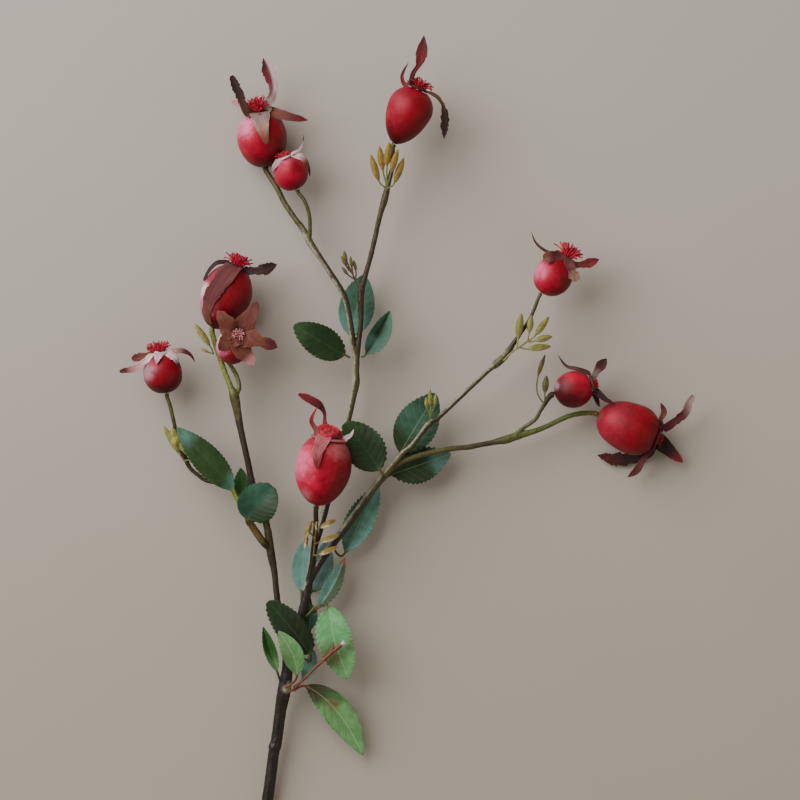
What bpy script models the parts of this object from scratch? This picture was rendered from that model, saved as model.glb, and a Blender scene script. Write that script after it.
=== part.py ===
"""A cut sprig of rose hips lying on a table, made for Blender 4.5.

Ten hips, their dried calyxes and stamens, leaves, buds and one branching stem. The stem lies along
+Y with its cut end towards -Y, and the sprig rests on two hips and on the cut end.

Places are written as (pixels across, pixels down, height in mm) in the photo's 800 x 800 frame, as
seen from straight above the table. One pixel is half a millimetre there.
"""

import math
import random

import bmesh
import bpy
import numpy as np
from mathutils import Quaternion, Vector

# Driving sizes
MM = 0.001
PIXEL = 0.5 * MM
PHOTO_SIDE = 800
MIDDLE = (0.2034, 0.1805)  # middle of the sprig on the table, from the photo's lower left corner
GAP = 0.3 * MM  # between pieces that touch
LEAF_THICKNESS = 1.2 * MM
SEPAL_THICKNESS = 0.9 * MM
SEPAL_FOLD = 12  # degrees
SEPAL_CLEARANCE = 1.3 * MM  # from its middle to the hip
STALK_RADIUS = 0.6 * MM
BUD_STALK_RADIUS = 0.45 * MM
DISC_HEIGHT = 1.5 * MM
TWIG_END = 2.5 * MM  # the straight run of a twig before its hip
TWIG_SWELL = 1.1  # radius of a twig at its end over the one before it
FLAT_SIDES = 8  # of a disc
NECK = 1.2  # radius of a hip where the stem meets it, over the stem's
SHARP_ANGLE = 40  # degrees
STEPS = 10  # of a curve between two points of its route
UP = Vector((0, 0, 1))

# Stem and twigs: each point has a fourth number, the radius in mm
TRUNK_AND_LEFT_BRANCH = [
    (260, 840, 2.8, 3.0), (267, 800, 4.6, 2.9), (273, 756, 6.8, 2.8), (274, 749, 7.0, 3.3),
    (276, 742, 7.3, 2.9), (280, 712, 9, 3.0), (284, 690, 11, 3.4), (287, 665, 12, 2.6),
    (283, 640, 12.5, 1.9), (277, 600, 13, 1.6), (274, 572, 13.5, 1.6), (270.5, 553.5, 14, 2.1),
    (266.5, 526, 15, 1.8), (259, 505, 15.5, 1.6), (252.4, 484, 16, 1.6), (245, 450, 16.3, 1.6),
    (239, 422, 16.5, 1.8), (234, 396, 16.5, 2.5), (230.5, 387, 16.3, 1.5), (221.6, 364, 16, 1.4),
]
LEFT_TWIG = [
    (269, 549, 14.5, 1.4), (262, 541, 17, 1.9), (250, 523, 19, 1.8), (246, 517, 19, 1.1),
    (236, 498, 18, 1.05), (228, 486, 16.5, 1.05), (206.5, 481, 14.5, 1.05), (196, 474, 14, 1.05),
    (188.7, 467, 14, 1.1), (184.8, 458, 14, 1.3), (177, 440, 14.5, 1.1), (174, 424.6, 15, 1.05),
    (169.5, 405.5, 15, 1.05),
]
CENTRE_BUNDLE = [
    (285, 685, 11.5, 2.3), (293, 645, 13, 2.4), (301, 618, 14, 2.4), (307, 592, 15.3, 2.2),
    (311, 570, 17.5, 1.5), (313, 553.5, 20, 1.4), (316, 526, 25, 1.3),
]
TOP_BRANCH = [
    (305, 605, 14.6, 1.8), (310, 575, 15, 1.8), (314, 548, 15, 1.8), (321, 525, 14.5, 1.8),
    (335, 470, 14.5, 1.8), (345, 432, 16, 1.7), (353.3, 396, 17.5, 1.7), (355.6, 383, 18, 2.1),
    (356, 372, 18.3, 1.7), (356, 355, 18.5, 1.7), (353.3, 345, 19, 1.5), (350.4, 322, 21, 1.4),
    (345.6, 300, 22, 1.4), (340.7, 289, 22, 1.5), (321, 258.6, 20, 1.4), (311, 244, 17.5, 1.8),
    (303, 229, 13.5, 1.6), (295.7, 219.4, 12.5, 1.4), (284, 202, 10.5, 1.4), (276.5, 187, 9, 1.4),
]
TOP_RIGHT_TWIG = [
    (355.8, 365, 18.3, 1.5), (358, 347.8, 18.5, 1.4), (361, 319, 19.5, 1.3),
    (361, 292.5, 20.5, 1.8), (366.6, 271, 21, 1.3), (372, 251.4, 22, 1.3), (377, 229, 23, 1.3),
    (381, 212, 23.6, 1.4), (384.6, 200, 24, 1.8), (388.4, 184, 24.5, 1.3), (393, 164, 24.5, 1.3),
]
RIGHT_BRANCH = [
    (305, 600, 14.5, 2.0), (309, 582, 16, 2.0), (318, 565, 17, 2.0), (332, 545, 18.5, 2.0),
    (346, 527, 19.5, 1.9), (360, 507, 20, 1.8), (371, 492, 20, 1.8), (382, 478, 20, 1.9),
    (393, 465, 20.5, 1.5), (403, 453, 21, 1.3), (412, 445.6, 21.5, 1.3), (421, 434, 22, 1.3),
    (429.7, 423.6, 22.5, 1.6), (441.5, 414.8, 23, 1.2), (469.4, 388.4, 25, 1.2),
    (489, 370, 26, 1.2), (496, 364, 26.2, 2.0), (505, 356, 26.3, 1.8), (515, 341, 26.5, 1.2),
    (526, 325, 26, 1.0), (532, 314, 25.5, 0.95),
]
LOWER_RIGHT_BRANCH = [
    (380, 481, 20, 1.5), (391, 470, 19.3, 1.4), (400.4, 463, 19, 1.4), (418, 456, 18.5, 1.4),
    (450, 449, 17.5, 1.4), (469.4, 447, 17, 1.4), (491.4, 442.7, 16.5, 1.4), (506, 439.7, 16, 2.1),
    (521, 435, 15.5, 1.9), (535.4, 431, 15, 1.4), (550, 425, 14.5, 1.3), (566, 417.3, 14, 1.3),
    (581, 413.5, 13.3, 1.3),
]
TWIG_TO_HIP_02 = [(309, 240, 17, 1.2), (310, 229, 18, 1), (309, 213.7, 19, 1), (304, 200, 19, 1)]
TWIG_TO_HIP_05 = [(234, 398, 16.5, 1.2), (239, 388, 16, 1.1), (236, 375, 14.5, 1.1)]
TWIG_TO_HIP_09 = [
    (512, 438, 16.2, 1.3), (521.5, 429.4, 16.7, 1), (530, 423.7, 17, 1), (536.4, 418.5, 18, 1),
    (541, 410, 19, 1.0),
]
# Each route, the hip at its tip or None, and the number of sides
STEM_ROUTES = [
    (TRUNK_AND_LEFT_BRANCH, "04", 8),
    (LEFT_TWIG, "06", 6),
    (CENTRE_BUNDLE, "07", 8),
    (TOP_BRANCH, "01", 6),
    (TOP_RIGHT_TWIG, "03", 6),
    (RIGHT_BRANCH, "08", 6),
    (LOWER_RIGHT_BRANCH, "10", 6),
    (TWIG_TO_HIP_02, "02", 6),
    (TWIG_TO_HIP_05, "05", 6),
    (TWIG_TO_HIP_09, "09", 6),
]

# Hips: the end on the stem, the crown, the diameter in mm, and the stem's radius there in mm
HIPS = {
    "01": ((265, 165, 6.8), (259, 113, 16.8), 25, 1.4),
    "02": ((297, 189, 18.5), (285, 160, 19.5), 17, 1.0),
    "03": ((394.5, 144, 24), (418, 91, 26), 23, 1.3),
    "04": ((213.5, 328, 15.5), (236, 268, 19), 25, 1.4),
    "05": ((228, 357, 16), (238, 337, 30), 17, 1.1),
    "06": ((166, 393, 15), (159.5, 355.5, 17), 19.5, 1.05),
    "07": ((317, 505, 30), (328.5, 440, 34), 28, 1.3),
    "08": ((541.5, 293, 24), (564, 260, 22), 19, 0.95),
    "09": ((555, 394.5, 19), (590.5, 384.5, 19), 18.5, 1.5),
    "10": ((599, 415, 12.7), (656, 438, 12.1), 25.5, 1.3),
}
LARGE_HIP = 22  # mm across, from where a hip has more sides
# Form of each hip: the share of its length where it is widest, how blunt its base is, and its
# crown's radius over its own
HIP_FORMS = {
    "01": (0.55, 2.1, 0.48), "02": (0.55, 2.2, 0.45), "03": (0.66, 1.7, 0.46),
    "04": (0.58, 2.0, 0.42), "05": (0.55, 2.1, 0.45), "06": (0.55, 2.2, 0.5),
    "07": (0.6, 1.9, 0.6), "08": (0.52, 2.1, 0.45), "09": (0.54, 2.1, 0.5),
    "10": (0.66, 2.3, 0.5),
}

# Sepals of each calyx: width in mm, how far it faces away from the hip instead of the sky (None on
# the underside, where it faces as the hip does), and the points beyond the disc's rim
SEPALS = {
    "01": [
        (7.0, 0, [(249, 114, 20), (243, 103, 21.5), (238, 91, 22), (231.5, 76, 22)]),
        (8.5, 0, [(267, 105, 20), (272, 97, 21), (273, 86, 22), (270, 72, 22), (263.5, 58, 21)]),
        (6.0, 0.2, [(275, 113, 19.5), (291, 117, 20), (307.5, 120, 18)]),
        (9.5, 0.3, [(261, 118, 24), (262.5, 127, 27.3), (265, 136, 27.8), (267, 145, 27.2)]),
        (4.5, 0.5, [(248, 108, 13.5), (240, 103, 12.5), (230, 100, 12)]),
    ],
    "02": [
        (4.2, 1, [(294, 156, 20), (301, 157, 20.5), (307, 164, 20), (310, 176, 19.5)]),
        (1.8, 0, [(293, 153, 20.5), (299, 150, 20.5), (302.5, 144, 20.5), (304, 134, 20)]),
        (4.0, 1, [(279, 162, 22.5), (275, 166, 23.5), (272, 172, 23)]),
        (3.0, None, [(285, 158, 15.5), (285, 164, 11.5), (287, 172, 9.5)]),
        (3.0, None, [(291, 159, 14), (297, 163, 11), (301, 170, 9.5)]),
    ],
    "03": [
        (6.2, 0, [(411, 85, 29.5), (413, 75, 30), (419, 65, 30.5), (422, 52, 30.5), (424, 37, 30)]),
        (3.0, 0, [(405, 86, 24.5), (402, 78, 24), (404, 71, 24), (408.5, 63, 24)]),
        (5.2, 0, [(430, 94, 29), (439, 100, 29.5), (444.5, 113, 28), (444, 139.5, 25)]),
        (3.5, None, [(420, 89, 19.5), (419, 93, 15.5), (414, 102, 12)]),
        (3.5, None, [(412, 92, 19.5), (405, 98, 15.5), (401, 107, 13)]),
    ],
    "04": [
        (7.0, 0, [(249, 271, 22), (262, 270, 23), (277, 264.5, 22)]),
        (9.5, 0.6, [
            (229, 272, 28.5), (219, 286, 31), (211, 298, 29.5), (208, 311, 25), (213, 324, 22),
        ]),
        (3.6, 1, [(228, 262, 20.5), (217, 263, 21), (209, 271, 21.5), (204, 281, 21)]),
        (4.0, None, [(241, 267, 13), (246, 272, 9.5), (249, 281, 7)]),
        (3.5, None, [(231, 266, 13), (226, 268, 9.5), (221, 275, 7)]),
    ],
    "05": [
        (9.0, 0, [(245, 326, 30.5), (252, 314, 31.5), (258, 302, 31.5)]),
        (9.0, 0, [(250, 338, 31.5), (263, 342, 32.5), (278, 347.5, 32)]),
        (9.0, 0, [(243, 350, 32), (249, 358, 31), (254, 366, 29.5)]),
        (9.0, 0, [(231, 329, 31), (225, 320, 32), (218.5, 311.5, 32.3)]),
        (8.5, 0, [(229, 342, 31.8), (224, 346, 31.8), (219.5, 350, 30.5)]),
    ],
    "06": [
        (4.6, 0.2, [(151, 357, 19.5), (143, 363, 21), (133, 369, 20.5), (119.5, 371.5, 19)]),
        (5.0, 0, [(151, 353, 15), (142, 356, 14.5), (131, 359, 14)]),
        (4.2, 0.2, [(169, 352, 17.5), (181, 350.5, 18.5), (190, 354.5, 18.5), (195, 362, 18)]),
        (5.0, 0.5, [(159, 354, 22), (158, 359, 25), (157, 364, 26.5)]),
        (4.6, 0.8, [(168, 355, 20), (175, 358, 22), (180, 368, 22.5)]),
    ],
    "07": [
        (7.6, 0.3, [(322, 443, 43.5), (319, 450, 47), (318, 459, 48), (318, 468.5, 48.2)]),
        (3.8, 0, [(317, 430, 39), (312, 420, 40), (318.5, 406, 40)]),
        (4.6, 0, [(326, 431, 26), (325, 421, 28), (324.5, 412, 31), (317, 403, 34), (299, 394, 35)]),
        (4.0, 0, [(346, 438, 35), (351, 435, 34.5), (354, 429, 34)]),
        (5.0, None, [(335, 438, 28), (340, 440, 26.5), (343, 447, 26)]),
    ],
    "08": [
        (2.4, 0, [(552, 254, 24), (542, 249, 24.5), (535, 242, 24.5), (531, 231.5, 24)]),
        (6.3, 0.2, [(557, 257, 27.5), (550, 257.5, 31), (542.5, 258.5, 31.5)]),
        (6.5, 0.2, [(566, 266, 27.5), (571, 272.5, 29), (577, 281, 28)]),
        (5.4, 0, [(574, 265, 22.5), (586, 264, 22.5), (599, 259.5, 22)]),
        (4.0, None, [(561, 259, 16.5), (557, 265, 13), (551, 273, 11.5)]),
    ],
    "09": [
        (3.2, 0.2, [(588, 373, 22), (577, 369, 24.5), (566, 366, 24), (557.5, 355, 23)]),
        (5.6, 0, [(593, 377, 20), (599, 368, 20.5), (606.5, 358.5, 20.5)]),
        (3.8, 0, [(597, 392, 20.5), (605, 399, 21.5), (615, 404.5, 21)]),
        (4.0, 0, [(596, 396, 16), (598, 402, 14.6), (600, 407, 14)]),
        (3.6, None, [(593, 384, 13.5), (588, 386, 10.5), (581, 390, 8.8)]),
    ],
    "10": [
        (3.2, 0, [(661, 420, 14.5), (664.5, 412, 15.5), (661, 402.5, 15.5)]),
        (6.4, 0, [
            (667, 427, 15), (676, 421, 16.5), (686, 412, 17), (689, 403, 17), (694, 395.5, 17),
        ]),
        (8.4, 0, [(662, 443, 8), (671, 451, 7), (684, 462.5, 7)]),
        (4.0, 0, [(648, 455, 13.5), (642, 463, 12.5), (637, 471, 11), (628.5, 477.5, 10)]),
        (8.4, 0, [(650, 453, 5), (634, 459.5, 3), (616, 459.5, 2.5), (599, 455.5, 3)]),
    ],
}

# Leaves: width in mm, fold, roll and twist in degrees, the stalk's number of points, the route,
# and the colour's name
LEAVES = {
    "01": (16.5, 12, 0, 0, 2, [(350, 357.5, 20), (345, 355, 20.5), (330, 347, 22.5), (312, 336, 24),
                               (294, 325, 23.5)], "dark"),
    "02": (18, 8, 0, 0, 2, [(355, 353, 15.8), (352, 336, 13.5), (357, 305, 11.5), (364, 275, 10.5)],
           "blue"),
    "03": (14, 40, 12, 0, 2, [(361, 357, 19.5), (366, 354, 19.5), (378, 335, 21.5), (390, 311, 23)],
           "dark"),
    "04": (20, 5, 0, 0, 2, [(383, 476, 22.9), (380, 470, 22.5), (364, 447, 22), (345, 422.5, 22)],
           "dark"),
    "05": (21, 5, 0, 0, 3, [(384, 478, 17), (393, 465, 15.8), (400, 453, 15.5), (418, 423, 16),
                            (435.7, 393.6, 17)], "blue"),
    "06": (18, 8, 0, 0, 2, [(383, 481, 17), (391, 475, 14.5), (420, 465, 12), (451, 454, 11)],
           "blue"),
    "07": (15, 14, 0, 0, 3, [(333, 548, 15.3), (339, 556, 12), (345, 553, 10), (358, 525, 9),
                             (379, 485, 9)], "blue"),
    "08": (10.5, 8, 0, 0, 2, [(301, 604, 11), (301, 592, 9), (302, 566, 7.5), (304, 541, 7.5)],
           "pale"),
    "09": (15, 15, 0, 0, 2, [(244, 517, 21.5), (234, 491, 22.5), (207, 459, 25), (177, 427, 24)],
           "dark"),
    "10": (8.5, 8, 0, 0, 2, [(255, 505, 13), (246, 501, 11.5), (242, 487, 11), (240, 468, 10.5)],
           "dark"),
    "11": (20.5, 14, 0, 0, 2, [(248, 525, 21.6), (247, 519, 23), (257, 505, 25), (273, 486, 26)],
           "dark"),
    "12": (15.5, 8, 0, 0, 3, [(299, 655, 14.2), (309, 662, 16.8), (310, 654, 20.5), (292, 629, 22),
                              (268, 601, 22.5)], "dark"),
    "13": (9, 45, 0, 0, 2, [(280, 682, 15.4), (277, 672, 16), (270, 650, 16.5), (263, 627, 16.5)],
           "dark"),
    "14": (11, 12, 0, 0, 3, [(286, 688, 15), (292, 684, 17.5), (297, 675, 21.5), (293, 654, 25.5),
                             (279, 630, 27.5)], "light"),
    "15": (18, 8, 0, 0, 3, [(306, 617, 17.2), (317, 606, 18.5), (328, 607, 19.5), (334, 638, 21),
                            (348, 679, 20)], "light"),
    "16": (7, 10, 0, 0, 2, [(293, 688, 13), (302, 681, 14.5), (310, 667, 14.5), (314, 651, 14.5)],
           "blue"),
    "17": (15, 10, 0, 0, 2, [(293, 692, 11.8), (305, 687, 12), (326, 701, 11), (346, 725, 9),
                             (363, 757, 7)], "light"),
    "18": (7.5, 10, 0, 0, 2, [(309, 597, 11.5), (310.5, 604, 11), (310, 618, 10.6), (309, 632, 10.6)],
           "blue"),
    "19": (9.5, 30, 0, 0, 2, [(308, 612, 12.3), (317, 609, 12.3), (333, 585, 12.8), (345, 558, 14)],
           "blue"),
    "20": (11.5, 6, 0, 0, 2, [(305, 592, 11.8), (312, 592, 10), (321, 570, 8.8), (326, 542, 8.8)],
           "blue"),
}
# How pointed a leaflet is, where it isn't as most are: less is rounder
POINTEDNESS = {
    "01": 0.65, "02": 0.65, "04": 0.6, "05": 0.7, "08": 0.65, "11": 0.5, "12": 0.55, "15": 0.6,
    "20": 0.6,
}
USUAL_POINTEDNESS = 0.8
BLADE_STATIONS = 16
STALK_STATIONS = 4
TOOTH_DEPTH = 0.13  # share of the half width
TOOTH_LEAN = 0.35  # towards the tip, as a share of the spacing

# Buds and bracts of each cluster: width in mm and the route, whose last two points are the bud's
# foot and tip
BUDS = {
    "01": [
        (3.6, [(386.5, 190, 27), (383.5, 186.5, 27), (379, 181.5, 26.8), (371, 155.5, 26.4)]),
        (3.6, [(387, 189, 27.2), (385, 180, 27.6), (383, 171, 27.8), (379.5, 147, 27.6)]),
        (3.6, [(387, 189, 27.2), (387, 178, 28), (387, 167, 28.6), (389.5, 142.5, 29)]),
        (3.4, [(387, 189, 27.2), (389, 182, 28), (391, 174, 28.8), (398, 150, 29.4)]),
        (3.6, [(386, 191, 27.1), (390, 187.5, 27.6), (394.5, 183.5, 27.6), (404, 158.5, 27.4)]),
    ],
    "02": [
        (1.2, [(503, 361, 29.3), (511, 353, 29.6), (519, 347, 29.6), (528, 341, 29)]),
        (3.9, [(516, 349, 29.6), (517, 344, 29.8), (517.5, 339, 30), (521, 313.5, 30)]),
        (3.4, [(527, 342, 29.2), (528, 337, 29.4), (528.8, 333, 29.4), (531, 315.5, 29.2)]),
        (3.4, [(527, 342, 29.2), (531, 339, 29), (535, 335.5, 28.8), (548.5, 317, 28.4)]),
        (3.4, [(527, 342, 29.2), (531, 342, 28.8), (534.5, 341, 28.4), (552, 336.5, 28)]),
        (3.6, [(518, 347.5, 29.4), (523, 348.5, 28.9), (527, 349, 28.5), (550.5, 346.5, 27.6)]),
    ],
    "03": [
        (3.4, [(184, 461, 17.2), (182, 458, 17.8), (179.5, 454, 18.2), (163.5, 426, 18)]),
        (5.4, [(184, 461, 17.2), (181, 456, 18.4), (179, 452, 19.2), (171.5, 427, 20.2)]),
        (3.6, [(184, 461, 17.2), (188, 460, 17.8), (191.5, 457.5, 18.4), (176, 440, 21)]),
        (2.0, [(184, 461, 17.2), (187, 460.5, 17), (189, 459, 17), (191.5, 453, 17.5)]),
    ],
    "04": [
        (1.2, [(313.5, 556, 22.6), (315, 541, 25.4), (316, 530, 27.6), (317, 521, 29.2)]),
        (3.2, [(316, 531, 27.4), (318, 529, 28), (320.5, 527.5, 28.3), (336, 519.5, 29)]),
        (3.0, [(315, 544, 24.9), (317, 543, 25.4), (319.5, 542, 25.6), (339, 535, 26)]),
        (3.0, [(314, 555, 22.8), (316, 555, 23.2), (318.5, 554.5, 23.4), (338, 546.5, 24)]),
        (2.8, [(316, 527, 28.2), (314, 523, 28.5), (311.5, 521.5, 28.5), (306, 538, 26.8)]),
        (2.4, [(315, 540, 25.7), (311, 533, 26.2), (307, 533, 26), (305.5, 549, 23.5)]),
    ],
    "05": [
        (3.4, [(544, 404, 21.8), (544.6, 398, 22.3), (544.8, 393, 22.3), (546.5, 375.5, 21.5)]),
        (2.4, [(544, 404, 21.8), (539, 397, 21.8), (536.6, 389, 21.7), (538, 376, 21.5),
               (545, 355, 21.2)]),
    ],
    "06": [
        (2.0, [(360, 293, 23.4), (357, 284, 23.8), (352, 273, 24), (347, 262, 24), (344, 251, 24)]),
        (1.8, [(352, 273, 24), (349, 270, 24.4), (346.5, 266.5, 24.4), (341.5, 256, 24.6)]),
        (1.8, [(353, 275, 24), (352.4, 271, 24.4), (352, 268, 24.6), (350.5, 256.5, 24.8)]),
        (1.8, [(355, 280, 23.9), (356, 276, 23.9), (356, 271, 23.8), (354, 260.5, 23.8)]),
        (1.8, [(355, 280, 23.9), (351, 277, 23.5), (348, 275, 23.4), (342, 267, 23)]),
    ],
    "07": [
        (2.2, [(429.7, 424, 25.4), (430.5, 414, 25.8), (430.5, 406, 26), (429.7, 388, 26)]),
        (2.0, [(430.4, 416, 25.7), (428.5, 411, 26), (427, 408, 26), (425.8, 397.5, 26)]),
        (2.0, [(430.4, 416, 25.7), (433, 410, 25.9), (434.5, 406, 26), (435.7, 394.5, 26)]),
    ],
    "08": [
        (3.4, [(213.5, 354, 18.4), (212, 350, 18.7), (210, 346, 19), (194.5, 323.5, 19)]),
        (1.8, [(213.5, 354, 18.4), (211, 353, 18.4), (208, 352, 18.2), (200.5, 348.5, 17.6)]),
    ],
}
LEAF_STALK = [
    (289, 693, 14.8, 0.7), (296, 687, 19, 0.7), (305, 678, 23.5, 0.75), (322, 661, 25, 0.9),
    (345, 641.5, 26, 1.2),
]
THORN = [(331, 653, 25.4, 1.1), (333, 648, 25.8, 0.6), (333, 641, 26, 0.1)]

# A bud's body, from its foot to its tip: (share of its length, share of its width)
BUD_PROFILE = [(0, 0.3), (0.2, 0.8), (0.5, 1), (0.8, 0.8), (0.97, 0.4)]
# A sepal: (share of its length, share of its width)
SEPAL_PROFILE = [(0, 0.75), (0.25, 0.85), (0.5, 0.7), (0.7, 0.9), (0.9, 0.6), (1, 0.3)]
ROOT_SHARE = 0.35  # of the rim's radius, where a sepal starts inside the disc
RIM_SHARE = 0.95  # of the rim's radius, where it leaves the disc
SEPAL_TEETH = (0.88, 1.12)  # shares of its width in turn, over its outer half
# A disc: (share of its height, share of the crown's radius)
DISC_PROFILE = [(0, 0.88), (0.33, 1.06), (0.73, 1), (1, 0.72)]
# Tufts of stamens: share of the crown's radius, and height in mm
STAMENS = {
    "01": (0.44, 4.4), "02": (0.4, 1.6), "03": (0.48, 2.8), "04": (0.6, 3.6), "05": (0.32, 1),
    "06": (0.64, 4.4), "07": (0.6, 3.6), "08": (0.64, 5.2), "09": (0.32, 1.6), "10": (0.28, 1.6),
}
RISING_SHARE = 0.7  # of a tuft's facets
RISE = (0.15, 0.35)  # least and most of a facet's point, as a share of the tuft's height

# Colours, roughness
COLOURS = {
    "stem": ((0.085, 0.072, 0.035), 0.5),
    "hip": ((0.42, 0.012, 0.02), 0.3),
    "calyx": ((0.14, 0.05, 0.042), 0.75),
    "stamens": ((0.5, 0.02, 0.03), 0.7),
    "dark": ((0.018, 0.045, 0.015), 0.5),
    "blue": ((0.05, 0.13, 0.09), 0.55),
    "pale": ((0.13, 0.24, 0.16), 0.6),
    "light": ((0.13, 0.34, 0.15), 0.5),
    "buds": ((0.32, 0.24, 0.05), 0.6),
    "stalk": ((0.25, 0.05, 0.04), 0.5),
}


def spot(point):
    """A place in the photo, with its height, as a place on the table in metres."""
    across, down, height = point[:3]
    return Vector((across * PIXEL, (PHOTO_SIDE - down) * PIXEL, height * MM))


def route_in_metres(points):
    """Points of a route as rows of x, y, z and, where given, the radius."""
    return np.array([[*spot(point), *(value * MM for value in point[3:])] for point in points])


def smooth(rows, steps=STEPS):
    """A Catmull-Rom curve through the rows, with the same number of steps in each stretch."""
    ends = np.vstack([2 * rows[0] - rows[1], rows, 2 * rows[-1] - rows[-2]])
    curve = []
    for a, b, c, d in zip(ends, ends[1:], ends[2:], ends[3:]):
        for t in np.arange(steps) / steps:
            curve.append(
                b + 0.5 * t * (c - a + t * (2 * a - 5 * b + 4 * c - d + t * (3 * (b - c) + d - a)))
            )
    return np.array(curve + [rows[-1]])


def distances(rows):
    """How far along the route each row is."""
    return np.concatenate([[0], np.cumsum(np.linalg.norm(np.diff(rows[:, :3], axis=0), axis=1))])


def stations(rows, places):
    """Rows of a smooth route at the given distances along it."""
    along = distances(rows)
    return np.column_stack([np.interp(places, along, column) for column in rows.T])


def frames(points, up, level=False):
    """The direction, side and face at each point of a route.

    The face turns with the route and never about it, or on a level route it always looks up.
    """
    tangents = []
    for index in range(len(points)):
        before = points[max(index - 1, 0)]
        after = points[min(index + 1, len(points) - 1)]
        tangents.append((after - before).normalized())
    face = up
    result = []
    for index, tangent in enumerate(tangents):
        if level:
            face = up
        elif index:
            face = tangents[index - 1].rotation_difference(tangent) @ face
        face = (face - tangent * face.dot(tangent)).normalized()
        result.append((tangent, face.cross(tangent), face))
    return result


def loft(rings, first, last):
    """A closed skin over rings of points, with a point or a flat cap's middle at either end.

    The two halves of each ring are split into triangles alike, so that thin blades never cross.
    """
    count = len(rings[0])
    points = [first] + [point for ring in rings for point in ring] + [last]
    faces = [(0, 1 + (k + 1) % count, 1 + k) for k in range(count)]
    for ring in range(len(rings) - 1):
        low = 1 + ring * count
        high = low + count
        for k in range(count):
            n = (k + 1) % count
            if k < count // 2:
                faces += [(low + k, low + n, high + n), (low + k, high + n, high + k)]
            else:
                faces += [(low + k, low + n, high + k), (low + n, high + n, high + k)]
    end = 1 + (len(rings) - 1) * count
    faces += [(len(points) - 1, end + k, end + (k + 1) % count) for k in range(count)]
    return points, faces


def round_ring(centre, side, face, radius, sides):
    """Points of a circle about a route."""
    return [
        centre + (side * math.cos(turn) + face * math.sin(turn)) * radius
        for turn in (2 * math.pi * k / sides for k in range(sides))
    ]


def tube(points, sides, step=13 * MM):
    """A round rod along (pixels, pixels, height, radius) points."""
    rows = points if isinstance(points, np.ndarray) else route_in_metres(points)
    smooth_rows = smooth(rows)
    kept = distances(smooth_rows)[::STEPS]
    places = []
    for start, end in zip(kept, kept[1:]):
        parts = max(1, round((end - start) / step))
        places += [start + (end - start) * part / parts for part in range(parts)]
    rows = stations(smooth_rows, places + [kept[-1]])
    centres = [Vector(row[:3]) for row in rows]
    rings = []
    for centre, row, (_, side, face) in zip(centres, rows, frames(centres, UP)):
        rings.append(round_ring(centre, side, face, row[3], sides))
    return loft(rings, centres[0], centres[-1])


def bud(width, points):
    """A bud along the last stretch of its route, on a thin stalk along the rest."""
    curve = smooth(route_in_metres(points))
    along = distances(curve)
    foot = along[(len(points) - 2) * STEPS]
    places = [0, foot / 2]
    radii = [BUD_STALK_RADIUS] * 2
    for share, wide in BUD_PROFILE:
        places.append(foot + (along[-1] - foot) * share)
        radii.append(max(BUD_STALK_RADIUS, width / 2 * wide))
    centres = [Vector(row) for row in stations(curve, places)]
    rings = []
    for centre, radius, (_, side, face) in zip(centres, radii, frames(centres, UP)):
        rings.append(round_ring(centre, side, face, radius, 5))
    return loft(rings, centres[0], Vector(curve[-1]))


def leaf_outline(share, pointedness):
    """Half of a leaflet's width over its widest, at a share of its length."""
    return math.sin(math.pi * share**0.85) ** pointedness


def sepal_outline(share):
    """Half of a sepal's width over its widest: a broad root, a waist and a leafy outer half."""
    return np.interp(share, *zip(*SEPAL_PROFILE))


def blade(rows, axes, widths, thickness, fold, roll=0, twist=0, shift=None):
    """A thin blade along rows of points: two faces that meet at a midrib and at sharp edges.

    The fold lifts both edges over the midrib, the roll turns the whole blade about it, and the
    twist turns the tip further. Angles are in degrees.
    """
    centres = [Vector(row) for row in rows]
    rings = []
    for index, (centre, (tangent, side, face)) in enumerate(zip(centres, axes)):
        share = index / (len(centres) - 1)
        turn = Quaternion(tangent, math.radians(roll + twist * share))
        side = turn @ side
        face = turn @ face
        width = widths[index]
        lift = math.radians(fold) * min(1, width / thickness)
        forward = tangent * (shift[index] if shift else 0)
        edge = side * math.cos(lift) * width
        raised = face * math.sin(lift) * width + forward
        half = face * thickness / 2 / math.cos(lift)
        rings.append([centre + edge + raised, centre + half, centre - edge + raised, centre - half])
    return loft(rings[:-1], centres[0], centres[-1])


def leaf(width, fold, roll, twist, stalk_points, points, pointedness):
    """A leaflet with saw teeth and its own stalk."""
    curve = smooth(route_in_metres(points))
    along = distances(curve)
    start = along[(stalk_points - 1) * STEPS]
    stalk = np.linspace(0, start, STALK_STATIONS, endpoint=False)
    blade_part = np.linspace(start, along[-1], BLADE_STATIONS + 1)
    rows = stations(curve, np.concatenate([stalk, blade_part]))
    spacing = blade_part[1] - blade_part[0]
    widths = [STALK_RADIUS] * len(stalk)
    shift = [0] * len(stalk)
    for index in range(len(blade_part)):
        share = index / BLADE_STATIONS
        tooth = index % 2
        wide = width / 2 * leaf_outline(share, pointedness)
        wide *= 1 + (0.5 if tooth else -0.5) * TOOTH_DEPTH
        widths.append(max(STALK_RADIUS, wide))
        shift.append(spacing * (TOOTH_LEAN if tooth else -TOOTH_LEAN / 3))
    axes = frames([Vector(row) for row in rows], UP, level=True)
    return blade(rows, axes, widths, LEAF_THICKNESS, fold, roll, twist, shift)


def clear_of_hip(key, place):
    """The place itself, or the nearest one outside the hip where it would be inside."""
    base, crown, axis, radius, crown_radius, _ = hip_parts(key)
    middle = base.lerp(crown, HIP_FORMS[key][0])
    along = (place - middle).dot(axis)
    across = (place - middle - axis * along).length
    reach = (crown - middle).length / math.sqrt(1 - (crown_radius / radius) ** 2)
    if along < 0:
        reach = (middle - base).length
    depth = math.hypot(along / (reach + SEPAL_CLEARANCE), across / (radius + SEPAL_CLEARANCE))
    return place if depth >= 1 else middle + (place - middle) / depth


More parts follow.
